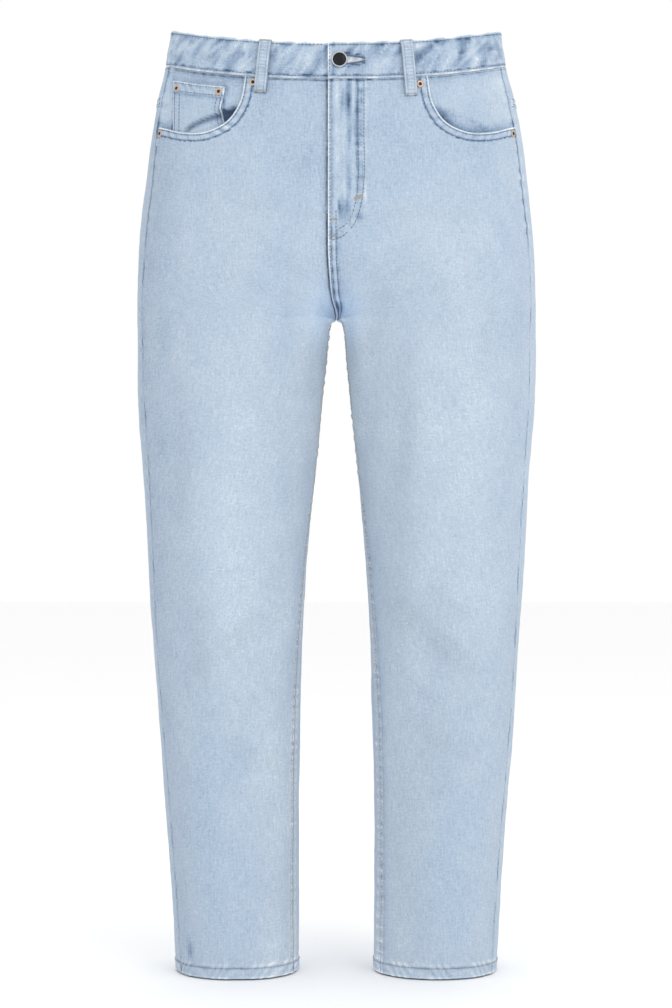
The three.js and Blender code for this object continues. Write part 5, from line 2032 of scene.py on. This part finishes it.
@dataclass(frozen=True)
class Studio:
    """Pale floor, white surroundings, three soft lights and the camera of the photo."""

    lamps: tuple[Lamp, ...] = (
        Lamp("key", (1.7, -2.3, 1.1), (60, 0, 37), 1.8, 19),
        Lamp("fill", (-1.4, -2.5, 0.1), (80, 0, -30), 1.8, 6),
        Lamp("top", (0, 0.2, 1.6), (0, 0, 0), 1.6, 8),
    )
    world_strength: float = 1.0
    floor_colour: str = "fbfbfb"
    floor_roughness: float = 0.8
    # Corners of the floor in metres, and how far below the hems it lies, mm
    floor_corners: tuple = ((-6, -6), (6, -6), (6, 9), (-6, 9))
    floor_drop: float = 1.0
    camera_place: Triple = (-0.0005, -2.4, -0.4956)
    camera_turn: Triple = (90, 0, 0)
    lens: float = 81.6
    sensor: float = 36.0

    def place(self, name: str, data: bpy.types.ID, at: tuple, turn: tuple) -> bpy.types.Object:
        """Object that holds a light or a camera at a place in metres, turned in degrees."""
        holder = bpy.data.objects.new(name, data)
        holder.location = at
        holder.rotation_euler = np.radians(turn)
        bpy.context.scene.collection.objects.link(holder)
        return holder

    def build(self) -> None:
        """Make the floor, the surroundings, the lights and the camera."""
        level = HEM - HEM_EXTRA - self.floor_drop
        corners = np.array([(x / MM, y / MM, level) for x, y in self.floor_corners])
        paint = new_material(Finish.THREAD)
        paint.name = "floor"
        plain = {"Base Color": linear(self.floor_colour), "Roughness": self.floor_roughness}
        close_material(paint.node_tree, plain)
        make_object("floor", corners, np.array([[0, 1, 2, 3]]), paint)
        world = bpy.data.worlds.new("studio")
        world.use_nodes = True
        sky = world.node_tree.nodes["Background"].inputs
        sky["Color"].default_value = (1, 1, 1, 1)
        sky["Strength"].default_value = self.world_strength
        bpy.context.scene.world = world
        bpy.context.scene.view_settings.view_transform = "Standard"
        for lamp in self.lamps:
            light = bpy.data.lights.new(lamp.name, "AREA")
            light.shape = "SQUARE"
            light.size = lamp.size
            light.energy = lamp.power
            self.place(lamp.name, light, lamp.place, lamp.turn)
        camera = bpy.data.cameras.new("camera")
        camera.lens = self.lens
        camera.sensor_width = self.sensor
        camera.sensor_fit = "AUTO"
        holder = self.place("camera", camera, self.camera_place, self.camera_turn)
        bpy.context.scene.camera = holder


@dataclass
class Stitching:
    """Sewn thread: rows of small rounded stitches, gathered into a few groups."""

    cloth: Cloth
    # Length, spacing and radius of a stitch, spacing and radius in a bartack, mm
    length: float = 3.1
    pitch: float = 3.8
    radius: float = 0.42
    tack_pitch: float = 0.62
    tack_radius: float = 0.36
    # A stitch is a rod of so many sides, with rings at shares of its length and radius
    sides: int = 5
    rings: tuple = ((-0.5, 0.0), (-0.4, 0.8), (0.0, 1.0), (0.4, 0.8), (0.5, 0.0))
    lean: tuple = (0.31, 0.17, 0.94)

    def __post_init__(self) -> None:
        """Start with no stitches."""
        self.groups: dict[str, list] = {}

    def add(self, group: str, start: Array, end: Array, radius: float) -> None:
        """Add stitches between two sets of points (n, 3) to a group."""
        self.groups.setdefault(group, []).append((start, end, np.full(len(start), radius)))

    def row(self, group: str, points: Array) -> None:
        """Stitches one after another along a line of points."""
        first = np.arange(0.4, chord_along(points)[-1] - self.length, self.pitch)
        start, end = (read_line(points, at) for at in (first, first + self.length))
        self.add(group, start, end, self.radius)

    def on_side(self, group: str, side: int, line: Array, lift: Number) -> None:
        """A row on one side of the jeans, along levels and arcs (n, 2)."""
        line = spaced(np.asarray(line, float), 1.0)
        shares = np.linspace(0, 1, np.size(lift))
        lift = np.interp(np.linspace(0, 1, len(line)), shares, np.ravel(lift))
        self.row(group, self.cloth.place(side, line[:, 0], line[:, 1], lift))

    def on_ring(self, group: str, level: Array, place: Array, lift: Number) -> None:
        """A row round the waist."""
        self.row(group, self.cloth.ring(level, place, lift))

    def tack(self, group: str, points: Array, width: float, out: Array) -> None:
        """Bartack: close stitches across a short line of points.

        Args:
            group: its group.
            points: the line (n, 3), mm.
            width: length of its stitches, mm.
            out: direction out of the cloth.
        """
        line = spaced(points, self.tack_pitch)
        across = unit(np.cross(np.gradient(line, axis=0), out))
        self.add(group, line - across * width / 2, line + across * width / 2, self.tack_radius)

    def tack_at(self, group: str, side: int, ends: Array, lift: float, width: float) -> None:
        """Bartack between two places (levels and arcs) of one side."""
        line = spaced(np.asarray(ends, float), 0.5)
        points = self.cloth.place(side, line[:, 0], line[:, 1], lift)
        self.tack(group, points, width, self.cloth.normal(side, *line[len(line) // 2]))

    def mesh(self, group: str) -> tuple[Array, Array]:
        """Points and triangles of a group: rods drawn in at their ends.

        Args:
            group: the group's name.

        Returns:
            Points in mm and triangles.
        """
        start, end, radius = (np.concatenate(part) for part in zip(*self.groups[group]))
        middle, run = (start + end) / 2, end - start
        along = unit(run)
        side = unit(np.cross(along, self.lean))
        up = np.cross(along, side)
        turn = np.arange(self.sides) / self.sides * 2 * np.pi
        spoke = side[:, None] * np.cos(turn)[:, None] + up[:, None] * np.sin(turn)[:, None]
        rows = []
        for at, wide in self.rings:
            centre = middle + run * at
            if wide:
                rows.append(centre[:, None] + spoke * (wide * radius)[:, None, None])
            else:
                rows.append(centre[:, None])
        points = np.concatenate(rows, axis=1)
        count, sides = points.shape[1], self.sides
        k = np.arange(sides)
        n = (k + 1) % sides
        tris = [np.stack([np.zeros_like(k), 1 + n, 1 + k], 1)]
        for ring in range(2):
            low, high = 1 + ring * sides, 1 + (ring + 1) * sides
            tris.append(np.stack([low + k, low + n, high + n], 1))
            tris.append(np.stack([low + k, high + n, high + k], 1))
        top = 1 + 2 * sides
        tris.append(np.stack([top + k, top + n, np.full(sides, count - 1)], 1))
        pattern = np.concatenate(tris)
        faces = (pattern[None] + (np.arange(len(start)) * count)[:, None, None]).reshape(-1, 3)
        return points.reshape(-1, 3), faces


@dataclass(frozen=True)
class Row:
    """One row of stitches: how far in from its edge, and its lift over the cloth, mm."""

    inset: float
    lift: float


@dataclass
class Seams:
    """Where the stitching runs on the front, back, waist, pockets, loops and hems."""

    cloth: Cloth
    # Rows beside the edges of each piece
    scoop_rows: tuple[Row, ...] = (Row(1.9, 0.35), Row(8.2, 0.32))
    inseam_rows: tuple[Row, ...] = (Row(1.7, 0.06), Row(6.6, 0.06))
    band_rows: tuple[Row, ...] = (Row(3.3, -0.02), Row(BAND_HEIGHT - 2.5, -0.02))
    band_end: Row = Row(2.0, 0.0)
    yoke_rows: tuple[Row, ...] = (Row(1.8, 0.42), Row(7.4, 0.42))
    seat_rows: tuple[Row, ...] = (Row(2.0, 0.1), Row(7.6, 0.1))
    pocket_rows: tuple[Row, ...] = (Row(1.9, 0.02), Row(7.9, 0.22))
    pocket_hem: Row = Row(12.4, 0.75)
    coin_hem: tuple[Row, ...] = (Row(1.6, 0.55), Row(9.6, 0.65))
    coin_inner: tuple[Row, ...] = (Row(1.7, 0.3), Row(6.2, 0.3))
    coin_outer: tuple[Row, ...] = (Row(-7.0, 0.3), Row(-1.9, 0.3))
    hem: Row = Row(HEM_TURN - 1.6, 0.02)
    # Fly: the two J rows as x and height, and the rows beside its edge and below it
    fly_rows: tuple = (
        ((27.7, -66), (27.7, -120), (27.5, -172), (24.5, -195), (15.6, -217), (2, -228), (-6, -230)),
        ((21.6, -66), (21.6, -120), (21.5, -172), (18.5, -195), (11.5, -212), (-3, -222)),
    )
    fly_edge: Row = Row(2.2, 0.05)
    below_fly: Row = Row(8.4, 0.05)
    below_fly_top: float = -196.0
    # Bartacks of the fly: on the J as x and height, and two on its edge as levels and arcs
    fly_tack: tuple = ((18.6, -188), (22.4, -186.4), (26.2, -185))
    edge_tacks: tuple = (((-207.8, -6.0), (-207.8, 0.5)), ((-225, -6.0), (-225, 0.5)))
    # Belt loops: places of the rows and bartacks across and down each, and bartack size
    loop_rows: Floats = (-3.9, 3.9)
    loop_tacks: Floats = (0.035, 0.965)
    loop_tack_half: float = 5.0
    # Buttonhole: spacing, inner and outer ends, lift and radius of its stitches
    hole_pitch: float = 0.56
    hole_near: float = 0.1
    hole_far: float = 2.2
    hole_lift: float = 0.42
    hole_radius: float = 0.27
    # Step along a seam between the points that place a row
    step: float = 1.5

    def __post_init__(self) -> None:
        """Start an empty set of stitching on the cloth."""
        self.sew = Stitching(self.cloth)

    @staticmethod
    def inner(line: Array, inset: float) -> Array:
        """A line of levels and arcs moved to its lower inner side by an inset."""
        tangent = unit(np.gradient(line, axis=0))
        return line + inset * np.stack([-tangent[:, 1], tangent[:, 0]], axis=1)

    def at_x(self, points: tuple) -> Array:
        """Levels and arcs of places given by x and height on the front."""
        line = spline(np.array(points, float), 60)
        beyond = np.sign(line[:, 0])
        found = self.cloth.find_front(np.abs(line[:, 0]), line[:, 1])
        return np.stack([found[:, 0], found[:, 1] * beyond], axis=1)

    def waist(self) -> None:
        """Rows along the waistband's edges and its lapped end."""
        length = float(self.cloth.body.length(-BAND_HEIGHT / 2))
        lap = Waistband.overlap
        place = np.arange(-lap + 1.5, 2 * length - lap - 1, 1.0)
        for row in self.band_rows:
            scale = self.cloth.body.length(-row.inset) / length
            around = np.where(place < 0, place, place * scale)
            level = np.full(len(place), -row.inset)
            self.sew.on_ring("topstitch_waist", level, around, row.lift)
        end = np.linspace(-2.5, -BAND_HEIGHT + 2.5, 40)
        place = np.full(40, self.band_end.inset - lap)
        self.sew.on_ring("topstitch_waist", end, place, self.band_end.lift)

    def buttonhole(self) -> None:
        """Close radial stitches round the teardrop of the buttonhole."""
        band = Waistband
        start, tip = band.hole_start + band.hole_round, band.hole_tip
        along = np.linspace(0.0, 1.0, 44)
        upper = np.stack([start + along * (tip - start), band.hole_half(along)], axis=1)
        lower = upper[::-1] * [1, -1]
        arc = np.linspace(1.5 * np.pi, 0.5 * np.pi, 20)
        head = band.hole_round * np.stack([np.cos(arc), np.sin(arc)], axis=1) + [start, 0]
        line = spaced(np.concatenate([upper, lower, head]), self.hole_pitch)
        tangent = np.gradient(line, axis=0)
        out = unit(np.stack([-tangent[:, 1], tangent[:, 0]], axis=1))
        near, far = (
            self.cloth.ring(band.hole_level + p[:, 1], p[:, 0], self.hole_lift)
            for p in (line + self.hole_near * out, line + self.hole_far * out)
        )
        self.sew.add("buttonhole_stitch", near, far, self.hole_radius)

    def loops(self) -> None:
        """Two rows down each belt loop and a bartack at its ends."""
        half = self.loop_tack_half
        for spot in LOOPS:
            loop = BeltLoop(self.cloth, spot)
            down = np.linspace(0.05, 0.95, 60)
            for across in self.loop_rows:
                level, place, under = loop.at(down, np.full(60, across))
                self.sew.on_ring("topstitch_loops", level, place, under + LOOP_CLOTH + 0.12)
            for height in self.loop_tacks:
                level, place, under = loop.at(np.full(24, height), np.linspace(-half, half, 24))
                points = self.cloth.ring(level, place, under + LOOP_CLOTH + 0.2)
                self.sew.tack("bartacks", points, 1.9, np.cross(points[-1] - points[0], [0, 0, 1.0]))

    def front(self, side: int) -> None:
        """Scoop rows, inseam, hem and, on the left, the fly."""
        cloth, sew = self.cloth, self.sew
        panel = FrontPanel(cloth, side)
        for row in self.scoop_rows:
            line = spaced(self.inner(cloth.scoop_line(), row.inset), 1.0)[1:-1]
            keep = (line[:, 0] < BAND_SEAM - 0.6) & (line[:, 1] < cloth.body.seam(line[:, 0]) - 1)
            line = line[keep]
            raised = row.lift + panel.gape(line[:, 0], line[:, 1])
            sew.on_side("topstitch_front", side, line, raised)
        down = np.arange(CROTCH - 4, HEM + HEM_TURN + 2, -self.step)
        for row in self.inseam_rows:
            line = np.stack([down, np.full(len(down), row.inset)], 1)
            sew.on_side("topstitch_inseam", side, line, row.lift)
        self.hem_row(side)
        if side > 0:
            self.fly(panel)

    def fly(self, panel: FrontPanel) -> None:
        """J rows, the rows beside the edge of the left front, and three bartacks."""
        sew = self.sew
        for points in self.fly_rows:
            sew.on_side("topstitch_front", 1, self.at_x(points), 0.05)
        edge = np.arange(BAND_SEAM - 1.5, CROTCH + 4, -self.step)
        low = edge[edge < self.below_fly_top]
        for down, row in ((edge, self.fly_edge), (low, self.below_fly)):
            line = np.stack([down, row.inset - panel.seam_line(down)], 1)
            sew.on_side("topstitch_front", 1, line, row.lift)
        sew.tack_at("bartacks", 1, self.at_x(self.fly_tack), 0.25, 3.4)
        for ends in self.edge_tacks:
            sew.tack_at("bartacks", 1, ends, 0.25, 1.8)

    def hem_row(self, side: int) -> None:
        """One tan row round the hem of a leg."""
        level = HEM + self.hem.inset
        around = np.arange(0, float(self.cloth.body.length(level)), 1.0)
        line = np.stack([np.full(len(around), level), around], axis=1)
        self.sew.on_side("hem_stitch", side, line, self.hem.lift)

    def back(self, side: int) -> None:
        """Yoke rows, seat seam rows on the left, and the back pocket."""
        cloth, sew = self.cloth, self.sew
        panel, share = BackPanel(cloth, side), np.linspace(0.01, 0.99, 80)
        for row in self.yoke_rows:
            level = panel.yoke_edge(share) + row.inset
            start, width = panel.span(level)
            sew.on_side("topstitch_back", side, np.stack([level, start + width * share], 1), row.lift)
        if side > 0:
            down = np.arange(BAND_SEAM - 3, CROTCH + 6, -self.step)
            for row in self.seat_rows:
                line = np.stack([down, cloth.body.length(down) - row.inset], 1)
                sew.on_side("topstitch_back", side, line, row.lift)
        pocket = BackPocket(cloth, side)
        height, width = pocket.top - pocket.side_end, pocket.top_width
        lift = POCKET_GAP + PATCH_CLOTH
        for row in self.pocket_rows:
            x, foot = 0.5 - row.inset / width, 1 - row.inset / height
            turns = np.array([(0.01, -x), (foot, -x), (foot, 0), (foot, x), (0.01, x)])
            path = spaced(turns * [height, width], 1.0) / [height, width]
            line = np.stack(pocket.at(path[:, 0], path[:, 1]), 1)
            sew.on_side("topstitch_back", side, line, lift + row.lift)
        across = np.linspace(-0.49, 0.49, 80)
        line = np.stack(pocket.at(np.full(80, self.pocket_hem.inset / height), across), 1)
        sew.on_side("topstitch_back", side, line, lift + self.pocket_hem.lift)

    def coin(self) -> None:
        """Two rows on the coin pocket's hem and two down each side."""
        body, patch = self.cloth.body, FrontPatch(self.cloth, -1)
        lines = []
        for row in self.coin_hem:
            level = COIN_TOP - row.inset
            ends = [body.arc_at_x(np.array(level), np.array(x)) for x in (COIN_INNER + 1, COIN_OUTER - 1)]
            lines.append((np.full(40, level), np.linspace(*ends, 40), row.lift))
        level = np.linspace(COIN_TOP - 12, COIN_BOTTOM + 2, 40)
        edges = ((patch.coin_inner(level), self.coin_inner), (np.full(40, COIN_OUTER), self.coin_outer))
        for edge, rows in edges:
            for row in rows:
                lines.append((level, body.arc_at_x(level, edge + row.inset), row.lift))
        for level, arc, lift in lines:
            raised = UNDER_FRONT + lift - patch.sag(level, arc)
            self.sew.on_side("topstitch_front", -1, np.stack([level, arc], 1), raised)

    def build(self, finishes: dict) -> None:
        """Sew everything and make one object of each group."""
        self.waist()
        self.buttonhole()
        self.loops()
        self.coin()
        for side in (1, -1):
            self.front(side)
            self.back(side)
        tan = {"hem_stitch": Finish.HEM_THREAD, "bartacks": Finish.PALE_THREAD}
        tan["topstitch_loops"] = tan["topstitch_inseam"] = Finish.PALE_THREAD
        for group in self.sew.groups:
            finish = tan.get(group, Finish.THREAD)
            points, faces = self.sew.mesh(group)
            piece = make_object(group, points, faces, finishes[finish])
            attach(piece, "root")
            LOG.info("%s: %d triangles", group, len(faces))


def dress(name: str, nodes: tuple, sheet: Sheet, finishes: dict) -> None:
    """Make one cloth piece, log its cut, and let it stand for its CAD nodes.

    Args:
        name: name of the new object.
        nodes: CAD nodes that it replaces.
        sheet: its geometry and flat cut.
        finishes: materials by finish.
    """
    piece = make_cloth(name, sheet, finishes[Finish.DENIM])
    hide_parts(*nodes)
    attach(piece, "root")
    faces = len(sheet.faces) * 2
    LOG.info("%s: %d triangles, cut %.3f x %.3f m, %.4f m2", name, faces, *sheet.flat, sheet.area)


def build_cloth(cloth: Cloth, finishes: dict) -> None:
    """All cloth pieces, from the waistband down.

    Args:
        cloth: the surface that places them.
        finishes: materials by finish.
    """
    band = ("waistband_cloth",)
    dress("waistband_cloth", ("waistband",), Waistband(cloth).build(), finishes)
    for side, word in ((1, "left"), (-1, "right")):
        back, patch = BackPanel(cloth, side), FrontPatch(cloth, side)
        yoke, on_back = (f"{word}_yoke_cloth",), (f"{word}_back_cloth",)
        pieces = (
            ("front_cloth", "front", FrontPanel(cloth, side).build(), band),
            ("yoke_cloth", "yoke", back.yoke(), band),
            ("back_cloth", "back", back.build(), yoke),
            ("facing_cloth", "pocket_facing", patch.facing(), band),
            ("back_pocket_cloth", "back_pocket", BackPocket(cloth, side).build(), on_back),
        )
        for name, node, sheet, rests_on in pieces:
            dress(f"{word}_{name}", (f"{node}_{word}",), sheet, finishes)
    coin = FrontPatch(cloth, -1).coin_pocket()
    dress("coin_pocket_cloth", ("coin_pocket",), coin, finishes)
    for spot in LOOPS:
        dress(f"{spot.name}_cloth", (spot.name,), BeltLoop(cloth, spot).build(), finishes)


def main() -> None:
    logging.basicConfig(level=logging.INFO, format="%(name)s %(message)s")
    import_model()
    finishes = make_finishes()
    cloth = Cloth()
    build_cloth(cloth, finishes)
    Fastenings(cloth, finishes).build()
    Seams(cloth).build(finishes)
    Studio().build()


if __name__ == "__main__":
    main()
